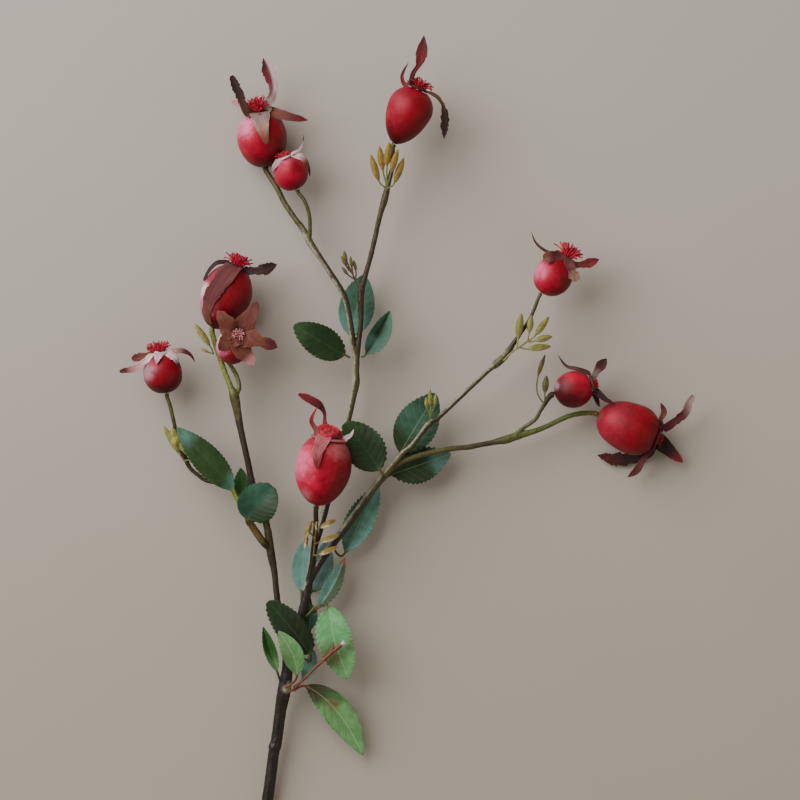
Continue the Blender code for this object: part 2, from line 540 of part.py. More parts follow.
def sepal(key, disc, width, away, points):
    """A sepal from inside the disc, out through its rim and through its own points.

    Its face turns from the hip's direction at the root to the sky, or partly away from the hip. On
    the underside it turns with its route.
    """
    _, _, axis, _, rim, _ = hip_parts(key)
    beyond = [spot(point) for point in points]
    outward = beyond[0] - disc
    outward -= axis * outward.dot(axis)
    edge = min(rim * RIM_SHARE, outward.length * 0.9)
    outward.normalize()
    inner = [disc + outward * min(rim * ROOT_SHARE, edge / 2), disc + outward * edge]
    rows = smooth(np.array([*inner, *beyond]))
    places = np.linspace(0, distances(rows)[-1], 3 + len(points) * 3 // 2)
    rows = stations(rows, places)
    rows[2:] = [clear_of_hip(key, Vector(row)) for row in rows[2:]]
    widths = []
    for index in range(len(rows)):
        share = index / (len(rows) - 1)
        tooth = SEPAL_TEETH[index % 2] if share > 0.45 else 1
        widths.append(width / 2 * sepal_outline(share) * tooth)
    axes = frames([Vector(row) for row in rows], axis)
    if away is not None:
        for index, (tangent, _, _) in enumerate(axes):
            sideways = Vector(rows[index]) - disc
            sideways = (sideways - axis * sideways.dot(axis)).normalized()
            turned = min(1, 2.5 * index / (len(rows) - 1))
            face = axis.lerp(UP + sideways * away, turned)
            face = (face - tangent * face.dot(tangent)).normalized()
            axes[index] = (tangent, face.cross(tangent), face)
    return blade(rows, axes, widths, SEPAL_THICKNESS, SEPAL_FOLD)


def mesh_of(name, points, faces):
    """A mesh of these points and faces."""
    mesh = bpy.data.meshes.new(name)
    mesh.from_pydata([tuple(point) for point in points], [], faces)
    return mesh


def is_closed(mesh):
    """Whether every edge of a mesh has exactly two faces."""
    work = bmesh.new()
    work.from_mesh(mesh)
    closed = all(edge.is_manifold for edge in work.edges)
    work.free()
    return closed


def union(name, solids):
    """One mesh of several overlapping solids, joined by a Boolean on a collection."""
    group = bpy.data.collections.new(name + "_pieces")
    pieces = [bpy.data.objects.new(name + "_piece", mesh_of(name, *solid)) for solid in solids]
    first = pieces[0]
    bpy.context.scene.collection.objects.link(first)
    for piece in pieces[1:]:
        group.objects.link(piece)
    bpy.context.scene.collection.children.link(group)
    modifier = first.modifiers.new("Join", "BOOLEAN")
    modifier.operation = "UNION"
    modifier.operand_type = "COLLECTION"
    modifier.collection = group
    for solver in ("EXACT", "MANIFOLD"):
        modifier.solver = solver
        bpy.context.view_layer.update()
        result = first.evaluated_get(bpy.context.evaluated_depsgraph_get())
        joined = bpy.data.meshes.new_from_object(result)
        if is_closed(joined):
            break
    for piece in pieces:
        bpy.data.objects.remove(piece)
    bpy.data.collections.remove(group)
    return joined


def cut_flat(mesh):
    """Cut off what lies below the table's surface, so that a small flat spot rests on it."""
    work = bmesh.new()
    work.from_mesh(mesh)
    everything = work.verts[:] + work.edges[:] + work.faces[:]
    bmesh.ops.bisect_plane(
        work, geom=everything, dist=1e-7, plane_co=(0, 0, 0), plane_no=UP, clear_inner=True
    )
    bmesh.ops.holes_fill(work, edges=[edge for edge in work.edges if edge.is_boundary])
    work.to_mesh(mesh)
    work.free()


def material(name, colour, roughness):
    """A plain surface of one colour."""
    surface = bpy.data.materials.new(name)
    surface.use_nodes = True
    shader = surface.node_tree.nodes["Principled BSDF"]
    shader.inputs["Base Color"].default_value = (*colour, 1)
    shader.inputs["Roughness"].default_value = roughness
    shader.inputs["Metallic"].default_value = 0
    surface.diffuse_color = (*colour, 1)
    return surface


def add(name, mesh, origin, kind, sprig):
    """One named object, with its origin at its own root."""
    work = bmesh.new()
    work.from_mesh(mesh)
    bmesh.ops.dissolve_degenerate(work, edges=work.edges, dist=2e-6)
    bmesh.ops.triangulate(work, faces=work.faces)
    bmesh.ops.translate(work, verts=work.verts, vec=-origin)
    work.to_mesh(mesh)
    work.free()
    mesh.shade_smooth()
    mesh.set_sharp_from_angle(angle=math.radians(SHARP_ANGLE))
    mesh.materials.clear()
    mesh.materials.append(material(name, *COLOURS[kind]))
    piece = bpy.data.objects.new(name, mesh)
    bpy.context.scene.collection.objects.link(piece)
    piece.parent = sprig
    piece.location = origin
    return piece


def hip_parts(key):
    """A hip's two ends, its direction, its radius, its crown's and its stem's, in metres."""
    base, crown, diameter, stem_radius = HIPS[key]
    base = spot(base)
    crown = spot(crown)
    radius = diameter / 2 * MM
    crown_radius = radius * HIP_FORMS[key][2]
    return base, crown, (crown - base).normalized(), radius, crown_radius, stem_radius * MM


def make_hip(key, sprig):
    """A hip: a turned berry, pointed to the stem and cut off at the crown."""
    base, crown, _, radius, crown_radius, stem_radius = hip_parts(key)
    widest, bluntness, _ = HIP_FORMS[key]
    large = HIPS[key][2] > LARGE_HIP
    sides = 16 if large else 12
    levels = 9 if large else 8
    side, face = frames([base, crown], UP)[0][1:]
    crown_reach = math.sqrt(1 - (crown_radius / radius) ** 2)
    rings = []
    for level in range(levels):
        share = (1 - math.cos(math.pi * level / (levels - 1))) / 2
        if share < widest:
            wide = radius * (1 - (1 - share / widest) ** bluntness) ** (1 / bluntness)
        else:
            part = (share - widest) / (1 - widest) * crown_reach
            wide = radius * math.sqrt(1 - part**2)
        wide = max(wide, stem_radius * NECK)
        rings.append(round_ring(base.lerp(crown, share), side, face, wide, sides))
    mesh = mesh_of("hip", *loft(rings, base, crown))
    cut_flat(mesh)
    add("hip_" + key, mesh, base, "hip", sprig)


def make_calyx(key, sprig):
    """The disc on a hip's crown with its five sepals."""
    _, crown, axis, _, crown_radius, _ = hip_parts(key)
    foot = crown + axis * GAP
    side, face = frames([foot, foot + axis], UP)[0][1:]
    rings = []
    for height, share in DISC_PROFILE:
        centre = foot + axis * height * DISC_HEIGHT
        rings.append(round_ring(centre, side, face, crown_radius * share, FLAT_SIDES))
    solids = [loft(rings, foot, foot + axis * DISC_HEIGHT)]
    middle = foot + axis * DISC_HEIGHT / 2
    for width, away, points in SEPALS[key]:
        solids.append(sepal(key, middle, width * MM, away, points))
    add("calyx_" + key, union("calyx", solids), foot, "calyx", sprig)


def make_stamens(key, sprig, dice):
    """A low dome of dried stamens: each of its facets may rise to a point."""
    _, crown, axis, _, crown_radius, _ = hip_parts(key)
    spread, height = STAMENS[key]
    foot = crown + axis * (2 * GAP + DISC_HEIGHT)
    work = bmesh.new()
    bmesh.ops.create_icosphere(work, subdivisions=2, radius=1)
    everything = work.verts[:] + work.edges[:] + work.faces[:]
    bmesh.ops.bisect_plane(
        work, geom=everything, dist=1e-4, plane_co=(0, 0, 0), plane_no=UP, clear_inner=True
    )
    bmesh.ops.holes_fill(work, edges=[edge for edge in work.edges if edge.is_boundary])
    upper = [face for face in work.faces if face.normal.z > 0.25]
    rising = [face for face in upper if dice.random() < RISING_SHARE]
    for face in rising:
        bmesh.ops.poke(work, faces=[face], offset=dice.uniform(*RISE))
    turn = UP.rotation_difference(axis)
    wide = crown_radius * spread
    for vertex in work.verts:
        shape = Vector((vertex.co.x * wide, vertex.co.y * wide, vertex.co.z * height * MM))
        vertex.co = foot + turn @ shape
    mesh = bpy.data.meshes.new("stamens")
    work.to_mesh(mesh)
    work.free()
    add("stamens_" + key, mesh, foot, "stamens", sprig)


def make_stem(sprig):
    """Trunk, branches and twigs as one piece, each twig ending just short of its hip."""
    solids = []
    for points, key, sides in STEM_ROUTES:
        base, _, axis, _, _, stem_radius = hip_parts(key)
        near = [*(base - axis * TWIG_END), stem_radius]
        tip = [*(base - axis * GAP), stem_radius * TWIG_SWELL]
        solids.append(tube(np.vstack([route_in_metres(points), near, tip]), sides))
    mesh = union("stem", solids)
    cut_flat(mesh)
    add("stem", mesh, spot(TRUNK_AND_LEFT_BRANCH[0]), "stem", sprig)


def make_leaves(sprig):
    """Every leaf with its stalk."""
    for key, (width, fold, roll, twist, stalk_points, points, colour) in LEAVES.items():
        pointedness = POINTEDNESS.get(key, USUAL_POINTEDNESS)
        solid = leaf(width * MM, fold, roll, twist, stalk_points, points, pointedness)
        add("leaf_" + key, mesh_of("leaf", *solid), spot(points[0]), colour, sprig)


def make_buds(sprig):
    """Every cluster of buds, and the bare leaf stalk with its thorn."""
    for key, rows in BUDS.items():
        mesh = union("buds", [bud(width * MM, points) for width, points in rows])
        add("buds_" + key, mesh, spot(rows[0][1][0]), "buds", sprig)
    mesh = union("leaf_stalk", [tube(LEAF_STALK, 6), tube(THORN, 5)])
    add("leaf_stalk", mesh, spot(LEAF_STALK[0]), "stalk", sprig)


def main():
    """Clear the scene and build the sprig."""
    for item in list(bpy.data.objects):
        bpy.data.objects.remove(item)
    sprig = bpy.data.objects.new("sprig", None)
    sprig.location = (-MIDDLE[0], -MIDDLE[1], 0)
    bpy.context.scene.collection.objects.link(sprig)
    dice = random.Random(7)
    make_stem(sprig)
    for key in HIPS:
        make_hip(key, sprig)
        make_calyx(key, sprig)
        make_stamens(key, sprig, dice)
    make_leaves(sprig)
    make_buds(sprig)
    bpy.context.view_layer.update()


main()
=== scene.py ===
"""Looks of a cut sprig of rose hips, built around its solids.

Each piece stands for one solid of the sprig and follows its form with finer surfaces: bark that
melts together at the forks, waxy hips, curled and torn sepals, threadlike stamens, and leaves with
saw teeth and veins.

Places are written as (pixels across, pixels down, height in mm) in the 800 x 800 photo, as seen
from straight above the table. One pixel is half a millimetre there. Colours are 0 to 255.
"""

import math
import random

import bpy
import numpy as np
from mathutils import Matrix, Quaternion, Vector, noise
from mathutils.kdtree import KDTree

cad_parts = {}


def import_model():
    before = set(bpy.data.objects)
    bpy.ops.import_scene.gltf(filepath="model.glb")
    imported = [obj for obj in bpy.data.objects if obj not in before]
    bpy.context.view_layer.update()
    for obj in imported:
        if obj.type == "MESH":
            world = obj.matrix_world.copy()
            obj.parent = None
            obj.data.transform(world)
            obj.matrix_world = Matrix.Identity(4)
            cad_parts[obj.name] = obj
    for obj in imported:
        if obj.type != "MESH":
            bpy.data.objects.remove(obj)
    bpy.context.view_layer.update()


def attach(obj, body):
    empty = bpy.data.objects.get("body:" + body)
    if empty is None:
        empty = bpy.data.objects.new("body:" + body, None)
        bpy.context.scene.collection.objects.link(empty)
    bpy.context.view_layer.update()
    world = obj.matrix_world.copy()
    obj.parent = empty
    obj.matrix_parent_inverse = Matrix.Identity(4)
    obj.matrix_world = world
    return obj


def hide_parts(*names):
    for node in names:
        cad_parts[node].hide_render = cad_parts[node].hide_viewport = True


# Sizes
MM = 0.001
PIXEL = 0.5 * MM
PHOTO_SIDE = 800
MIDDLE = (0.2034, 0.1805)  # middle of the sprig, from the photo's lower left corner
GAP = 0.3 * MM  # between pieces that touch
DISC_HEIGHT = 1.5 * MM
SEPAL_CLEARANCE = 0.9 * MM  # from its middle to the hip
SEPAL_THICKNESS = 0.45 * MM
LEAF_THICKNESS = 0.4 * MM
STALK_RADIUS = 0.55 * MM
BUD_STALK_RADIUS = 0.42 * MM
THREAD_RADIUS = 0.26 * MM
NECK_RADIUS = 0.28 * MM  # of a thread below its knob
TOOTH_SPACING = 2.2 * MM
TOOTH_DEPTH = 1.0 * MM
STEM_VOXEL = 0.4 * MM
BUD_VOXEL = 0.2 * MM
BARK_DEPTH = 0.16 * MM
UP = Vector((0, 0, 1))
# Relief
HIP_LUMPS = 0.035  # over the hip's radius
HIP_RIDGES = 0.008
DISC_LUMPS = 0.06
CAP_FOLDS = 0.16
GROOVE_DEPTH = 0.12 * MM  # along the middle of a sepal
GROOVE_WIDTH = 0.5 * MM
SEPAL_WAVE = 0.12  # over half its width
FOLD_RADIUS = 0.4 * MM  # of a leaf along its midrib
LEAF_RIPPLE = 0.07  # over half its width
LEAF_TAPER = 2.5 * MM  # half a leaf's width up to which its teeth and veins grow
MIDRIB_WIDTH = 0.45 * MM
QUILT_DEPTH = 0.16 * MM  # between a leaf's side veins
BUD_RIDGES = 0.05

# Noise: features for each metre, coarse to fine
HIP_PATCH_SCALE = 160
LEAF_SCALE = 220
HIP_SPECKLE_SCALE = 500
BUD_SCALE = 700
BARK_SCALE = 900

# Counts
CURVE_STEPS = 10  # in each stretch of a smooth route
HIP_RINGS = 56
HIP_SIDES = 72
DISC_SIDES = 40
CAP_RINGS = 26
CAP_SIDES = 64
SEPAL_RINGS = 44
SEPAL_SIDES = 24
THREAD_STEPS = 6
THREAD_SIDES = 5
LEAF_SIDES = 40
LEAF_STALK_RINGS = 8
FEWEST_TEETH = 9
ROWS_IN_A_TOOTH = 4
BUD_RINGS = 22
BUD_STALK_RINGS = 8
ROD_SIDES = 20
LEAF_STALK_SIDES = 16
GOLDEN_ANGLE = 2.39996
SEED = 11

# Camera, lights and floor
SENSOR_WIDTH = 36
CAMERA_HEIGHT = 2.6
FRAMED_HEIGHT = 20 * MM  # where a pixel is as wide as it is in the photo
LIGHT_SIZE = 2.2
# Each light's name, place, power and colour
LIGHTS = [
    ("window", (-1.2, 0.95, 1.2), 61, (1, 0.98, 0.95)),
    ("bounce", (1.7, -0.9, 1.1), 6, (1, 0.8, 0.56)),
]
SKY_COLOUR = (1.0, 0.94, 0.81, 1)
SKY_STRENGTH = 0.315
FLOOR_REACH = 6
FLOOR_DEPTH = 0.2 * MM  # below the sprig
# The floor's colour at the cut end and at the top: a painted fall-off of light across it
FLOOR_AT_CUT_END = (0.392, 0.349, 0.298, 1)
FLOOR_AT_TOP = (0.462, 0.42, 0.386, 1)
FLOOR_CLOUD = (0.55, 0.51, 0.46, 1)

# Stem and twigs: the hip at the tip, and the route, with the radius in mm as a fourth number
STEM_ROUTES = {
    "trunk": ("04", [
        (260, 840, 2.8, 3.0), (267, 800, 4.6, 2.9), (273, 756, 6.8, 2.8), (274, 749, 7.0, 3.3),
        (276, 742, 7.3, 2.9), (280, 712, 9, 3.0), (284, 690, 11, 3.4), (287, 665, 12, 2.6),
        (283, 640, 12.5, 1.9), (277, 600, 13, 1.6), (274, 572, 13.5, 1.6), (270.5, 553.5, 14, 2.1),
        (266.5, 526, 15, 1.8), (259, 505, 15.5, 1.6), (252.4, 484, 16, 1.6), (245, 450, 16.3, 1.6),
        (239, 422, 16.5, 1.8), (234, 396, 16.5, 2.5), (230.5, 387, 16.3, 1.5), (221.6, 364, 16, 1.4),
    ]),
    "left": ("06", [
        (269, 549, 14.5, 1.4), (262, 541, 17, 1.9), (250, 523, 19, 1.8), (246, 517, 19, 1.1),
        (236, 498, 18, 1.05), (228, 486, 16.5, 1.05), (206.5, 481, 14.5, 1.05), (196, 474, 14, 1.05),
        (188.7, 467, 14, 1.1), (184.8, 458, 14, 1.3), (177, 440, 14.5, 1.1), (174, 424.6, 15, 1.05),
        (169.5, 405.5, 15, 1.05),
    ]),
    "centre": ("07", [
        (285, 685, 11.5, 2.3), (293, 645, 13, 2.4), (301, 618, 14, 2.4), (307, 592, 15.3, 2.2),
        (311, 570, 17.5, 1.5), (313, 553.5, 20, 1.4), (316, 526, 25, 1.3),
    ]),
    "top": ("01", [
        (305, 605, 14.6, 1.8), (310, 575, 15, 1.8), (314, 548, 15, 1.8), (321, 525, 14.5, 1.8),
        (335, 470, 14.5, 1.8), (345, 432, 16, 1.7), (353.3, 396, 17.5, 1.7), (355.6, 383, 18, 2.1),
        (356, 372, 18.3, 1.7), (356, 355, 18.5, 1.7), (353.3, 345, 19, 1.5), (350.4, 322, 21, 1.4),
        (345.6, 300, 22, 1.4), (340.7, 289, 22, 1.5), (321, 258.6, 20, 1.4), (311, 244, 17.5, 1.8),
        (303, 229, 13.5, 1.6), (295.7, 219.4, 12.5, 1.4), (284, 202, 10.5, 1.4), (276.5, 187, 9, 1.4),
    ]),
    "top right": ("03", [
        (355.8, 365, 18.3, 1.5), (358, 347.8, 18.5, 1.4), (361, 319, 19.5, 1.3), (361, 292.5, 20.5, 1.8),
        (366.6, 271, 21, 1.3), (372, 251.4, 22, 1.3), (377, 229, 23, 1.3), (381, 212, 23.6, 1.4),
        (384.6, 200, 24, 1.8), (388.4, 184, 24.5, 1.3), (393, 164, 24.5, 1.3),
    ]),
    "right": ("08", [
        (305, 600, 14.5, 2.0), (309, 582, 16, 2.0), (318, 565, 17, 2.0), (332, 545, 18.5, 2.0),
        (346, 527, 19.5, 1.9), (360, 507, 20, 1.8), (371, 492, 20, 1.8), (382, 478, 20, 1.9),
        (393, 465, 20.5, 1.5), (403, 453, 21, 1.3), (412, 445.6, 21.5, 1.3), (421, 434, 22, 1.3),
        (429.7, 423.6, 22.5, 1.6), (441.5, 414.8, 23, 1.2), (469.4, 388.4, 25, 1.2), (489, 370, 26, 1.2),
        (496, 364, 26.2, 2.0), (505, 356, 26.3, 1.8), (515, 341, 26.5, 1.2), (526, 325, 26, 1.0),
        (532, 314, 25.5, 0.95),
    ]),
    "lower right": ("10", [
        (380, 481, 20, 1.5), (391, 470, 19.3, 1.4), (400.4, 463, 19, 1.4), (418, 456, 18.5, 1.4),
        (450, 449, 17.5, 1.4), (469.4, 447, 17, 1.4), (491.4, 442.7, 16.5, 1.4), (506, 439.7, 16, 2.1),
        (521, 435, 15.5, 1.9), (535.4, 431, 15, 1.4), (550, 425, 14.5, 1.3), (566, 417.3, 14, 1.3),
        (581, 413.5, 13.3, 1.3),
    ]),
    "hip 02": ("02", [(309, 240, 17, 1.2), (310, 229, 18, 1), (309, 213.7, 19, 1), (304, 200, 19, 1)]),
    "hip 05": ("05", [(234, 398, 16.5, 1.2), (239, 388, 16, 1.1), (236, 375, 14.5, 1.1)]),
    "hip 09": ("09", [
        (512, 438, 16.2, 1.3), (521.5, 429.4, 16.7, 1), (530, 423.7, 17, 1), (536.4, 418.5, 18, 1),
        (541, 410, 19, 1.0),
    ]),
}

# Hips: the end on the stem, the crown, the diameter in mm, and the stem's radius there in mm
HIPS = {
    "01": ((265, 165, 6.8), (259, 113, 16.8), 25, 1.4),
    "02": ((297, 189, 18.5), (285, 160, 19.5), 17, 1.0),
    "03": ((394.5, 144, 24), (418, 91, 26), 23, 1.3),
    "04": ((213.5, 328, 15.5), (236, 268, 19), 25, 1.4),
    "05": ((228, 357, 16), (238, 337, 30), 17, 1.1),
    "06": ((166, 393, 15), (159.5, 355.5, 17), 19.5, 1.05),
    "07": ((317, 505, 30), (328.5, 440, 34), 28, 1.3),
    "08": ((541.5, 293, 24), (564, 260, 22), 19, 0.95),
    "09": ((555, 394.5, 19), (590.5, 384.5, 19), 18.5, 1.5),
    "10": ((599, 415, 12.7), (656, 438, 12.1), 25.5, 1.3),
}
# Form of each hip: the share of its length where it is widest, how blunt its base is, and its
# crown's radius over its own
HIP_FORMS = {
    "01": (0.55, 2.1, 0.48), "02": (0.55, 2.2, 0.45), "03": (0.66, 1.7, 0.46),
    "04": (0.58, 2.0, 0.42), "05": (0.55, 2.1, 0.45), "06": (0.55, 2.2, 0.5),
    "07": (0.6, 1.9, 0.6), "08": (0.52, 2.1, 0.45), "09": (0.54, 2.1, 0.5),
    "10": (0.66, 2.3, 0.5),
}

# Sepals of each calyx: width in mm, how far it faces away from the hip instead of the sky (None on
# the underside, where it faces as the hip does), and the points beyond the disc's rim
SEPALS = {
    "01": [
        (7.0, 0, [(249, 114, 20), (243, 103, 21.5), (238, 91, 22), (231.5, 76, 22)]),
        (8.5, 0, [(267, 105, 20), (272, 97, 21), (273, 86, 22), (270, 72, 22), (263.5, 58, 21)]),
        (6.0, 0.2, [(275, 113, 19.5), (291, 117, 20), (307.5, 120, 18)]),
        (9.5, 0.3, [(261, 118, 24), (262.5, 127, 27.3), (265, 136, 27.8), (267, 145, 27.2)]),
        (4.5, 0.5, [(248, 108, 13.5), (240, 103, 12.5), (230, 100, 12)]),
    ],
    "02": [
        (4.2, 1, [(294, 156, 20), (301, 157, 20.5), (307, 164, 20), (310, 176, 19.5)]),
        (1.8, 0, [(293, 153, 20.5), (299, 150, 20.5), (302.5, 144, 20.5), (304, 134, 20)]),
        (4.0, 1, [(279, 162, 22.5), (275, 166, 23.5), (272, 172, 23)]),
        (3.0, None, [(285, 158, 15.5), (285, 164, 11.5), (287, 172, 9.5)]),
        (3.0, None, [(291, 159, 14), (297, 163, 11), (301, 170, 9.5)]),
    ],
    "03": [
        (6.2, 0, [(411, 85, 29.5), (413, 75, 30), (419, 65, 30.5), (422, 52, 30.5), (424, 37, 30)]),
        (3.0, 0, [(405, 86, 24.5), (402, 78, 24), (404, 71, 24), (408.5, 63, 24)]),
        (5.2, 0, [(430, 94, 29), (439, 100, 29.5), (444.5, 113, 28), (444, 139.5, 25)]),
        (3.5, None, [(420, 89, 19.5), (419, 93, 15.5), (414, 102, 12)]),
        (3.5, None, [(412, 92, 19.5), (405, 98, 15.5), (401, 107, 13)]),
    ],
    "04": [
        (7.0, 0, [(249, 271, 22), (262, 270, 23), (277, 264.5, 22)]),
        (9.5, 0.6, [(229, 272, 28.5), (219, 286, 31), (211, 298, 29.5), (208, 311, 25), (213, 324, 22)]),
        (3.6, 1, [(228, 262, 20.5), (217, 263, 21), (209, 271, 21.5), (204, 281, 21)]),
        (4.0, None, [(241, 267, 13), (246, 272, 9.5), (249, 281, 7)]),
        (3.5, None, [(231, 266, 13), (226, 268, 9.5), (221, 275, 7)]),
    ],
    "05": [
        (9.0, 0, [(245, 326, 30.5), (252, 314, 31.5), (258, 302, 31.5)]),
        (9.0, 0, [(250, 338, 31.5), (263, 342, 32.5), (278, 347.5, 32)]),
        (9.0, 0, [(243, 350, 32), (249, 358, 31), (254, 366, 29.5)]),
        (9.0, 0, [(231, 329, 31), (225, 320, 32), (218.5, 311.5, 32.3)]),
        (8.5, 0, [(229, 342, 31.8), (224, 346, 31.8), (219.5, 350, 30.5)]),
    ],
    "06": [
        (4.6, 0.2, [(151, 357, 19.5), (143, 363, 21), (133, 369, 20.5), (119.5, 371.5, 19)]),
        (5.0, 0, [(151, 353, 15), (142, 356, 14.5), (131, 359, 14)]),
        (4.2, 0.2, [(169, 352, 17.5), (181, 350.5, 18.5), (190, 354.5, 18.5), (195, 362, 18)]),
        (5.0, 0.5, [(159, 354, 22), (158, 359, 25), (157, 364, 26.5)]),
        (4.6, 0.8, [(168, 355, 20), (175, 358, 22), (180, 368, 22.5)]),
    ],
    "07": [
        (7.6, 0.3, [(322, 443, 43.5), (319, 450, 47), (318, 459, 48), (318, 468.5, 48.2)]),
        (3.8, 0, [(317, 430, 39), (312, 420, 40), (318.5, 406, 40)]),
        (4.6, 0, [(326, 431, 26), (325, 421, 28), (324.5, 412, 31), (317, 403, 34), (299, 394, 35)]),
        (4.0, 0, [(346, 438, 35), (351, 435, 34.5), (354, 429, 34)]),
        (5.0, None, [(335, 438, 28), (340, 440, 26.5), (343, 447, 26)]),
    ],
    "08": [
        (2.4, 0, [(552, 254, 24), (542, 249, 24.5), (535, 242, 24.5), (531, 231.5, 24)]),
        (6.3, 0.2, [(557, 257, 27.5), (550, 257.5, 31), (542.5, 258.5, 31.5)]),
        (6.5, 0.2, [(566, 266, 27.5), (571, 272.5, 29), (577, 281, 28)]),
        (5.4, 0, [(574, 265, 22.5), (586, 264, 22.5), (599, 259.5, 22)]),
        (4.0, None, [(561, 259, 16.5), (557, 265, 13), (551, 273, 11.5)]),
    ],
    "09": [
        (3.2, 0.2, [(588, 373, 22), (577, 369, 24.5), (566, 366, 24), (557.5, 355, 23)]),
        (5.6, 0, [(593, 377, 20), (599, 368, 20.5), (606.5, 358.5, 20.5)]),
        (3.8, 0, [(597, 392, 20.5), (605, 399, 21.5), (615, 404.5, 21)]),
        (4.0, 0, [(596, 396, 16), (598, 402, 14.6), (600, 407, 14)]),
        (3.6, None, [(593, 384, 13.5), (588, 386, 10.5), (581, 390, 8.8)]),
    ],
    "10": [
        (3.2, 0, [(661, 420, 14.5), (664.5, 412, 15.5), (661, 402.5, 15.5)]),
        (6.4, 0, [(667, 427, 15), (676, 421, 16.5), (686, 412, 17), (689, 403, 17), (694, 395.5, 17)]),
        (8.4, 0, [(662, 443, 8), (671, 451, 7), (684, 462.5, 7)]),
        (4.0, 0, [(648, 455, 13.5), (642, 463, 12.5), (637, 471, 11), (628.5, 477.5, 10)]),
        (8.4, 0, [(650, 453, 5), (634, 459.5, 3), (616, 459.5, 2.5), (599, 455.5, 3)]),
    ],
}

# Leaves: width in mm, fold and roll in degrees, the stalk's number of points, the kind and the route
LEAVES = {
    "01": (16.5, 12, 0, 2, "dark", [
        (350, 357.5, 20), (345, 355, 20.5), (330, 347, 22.5), (312, 336, 24), (294, 325, 23.5),
    ]),
    "02": (18, 8, 0, 2, "blue", [(355, 353, 15.8), (352, 336, 13.5), (357, 305, 11.5), (364, 275, 10.5)]),
    "03": (14, 40, 12, 2, "dark", [(361, 357, 19.5), (366, 354, 19.5), (378, 335, 21.5), (390, 311, 23)]),
    "04": (20, 5, 0, 2, "dark", [(383, 476, 22.9), (380, 470, 22.5), (364, 447, 22), (345, 422.5, 22)]),
    "05": (21, 5, 0, 3, "blue", [
        (384, 478, 17), (393, 465, 15.8), (400, 453, 15.5), (418, 423, 16), (435.7, 393.6, 17),
    ]),
    "06": (18, 8, 0, 2, "blue", [(383, 481, 17), (391, 475, 14.5), (420, 465, 12), (451, 454, 11)]),
    "07": (15, 14, 0, 3, "blue", [
        (333, 548, 15.3), (339, 556, 12), (345, 553, 10), (358, 525, 9), (379, 485, 9),
    ]),
    "08": (10.5, 8, 0, 2, "blue", [(301, 604, 11), (301, 592, 9), (302, 566, 7.5), (304, 541, 7.5)]),
    "09": (15, 15, 0, 2, "dark", [(244, 517, 21.5), (234, 491, 22.5), (207, 459, 25), (177, 427, 24)]),
    "10": (8.5, 8, 0, 2, "dark", [(255, 505, 13), (246, 501, 11.5), (242, 487, 11), (240, 468, 10.5)]),
    "11": (20.5, 14, 0, 2, "dark", [(248, 525, 21.6), (247, 519, 23), (257, 505, 25), (273, 486, 26)]),
    "12": (15.5, 8, 0, 3, "dark", [
        (299, 655, 14.2), (309, 662, 16.8), (310, 654, 20.5), (292, 629, 22), (268, 601, 22.5),
    ]),
    "13": (9, 45, 0, 2, "dark", [(280, 682, 15.4), (277, 672, 16), (270, 650, 16.5), (263, 627, 16.5)]),
    "14": (11, 12, 0, 3, "light", [
        (286, 688, 15), (292, 684, 17.5), (297, 675, 21.5), (293, 654, 25.5), (279, 630, 27.5),
    ]),
    "15": (18, 8, 0, 3, "light", [
        (306, 617, 17.2), (317, 606, 18.5), (328, 607, 19.5), (334, 638, 21), (348, 679, 20),
    ]),
    "16": (7, 10, 0, 2, "blue", [(293, 688, 13), (302, 681, 14.5), (310, 667, 14.5), (314, 651, 14.5)]),
    "17": (15, 10, 0, 2, "light", [
        (293, 692, 11.8), (305, 687, 12), (326, 701, 11), (346, 725, 9), (363, 757, 7),
    ]),
    "18": (7.5, 10, 0, 2, "blue", [
        (309, 597, 11.5), (310.5, 604, 11), (310, 618, 10.6), (309, 632, 10.6),
    ]),
    "19": (9.5, 30, 0, 2, "blue", [(308, 612, 12.3), (317, 609, 12.3), (333, 585, 12.8), (345, 558, 14)]),
    "20": (11.5, 6, 0, 2, "blue", [(305, 592, 11.8), (312, 592, 10), (321, 570, 8.8), (326, 542, 8.8)]),
}
# How pointed a leaflet is, where it isn't as most are: less is rounder
POINTEDNESS = {
    "01": 0.65, "02": 0.65, "04": 0.6, "05": 0.7, "08": 0.65, "11": 0.5, "12": 0.55, "15": 0.6,
    "20": 0.6,
}
USUAL_POINTEDNESS = 0.8

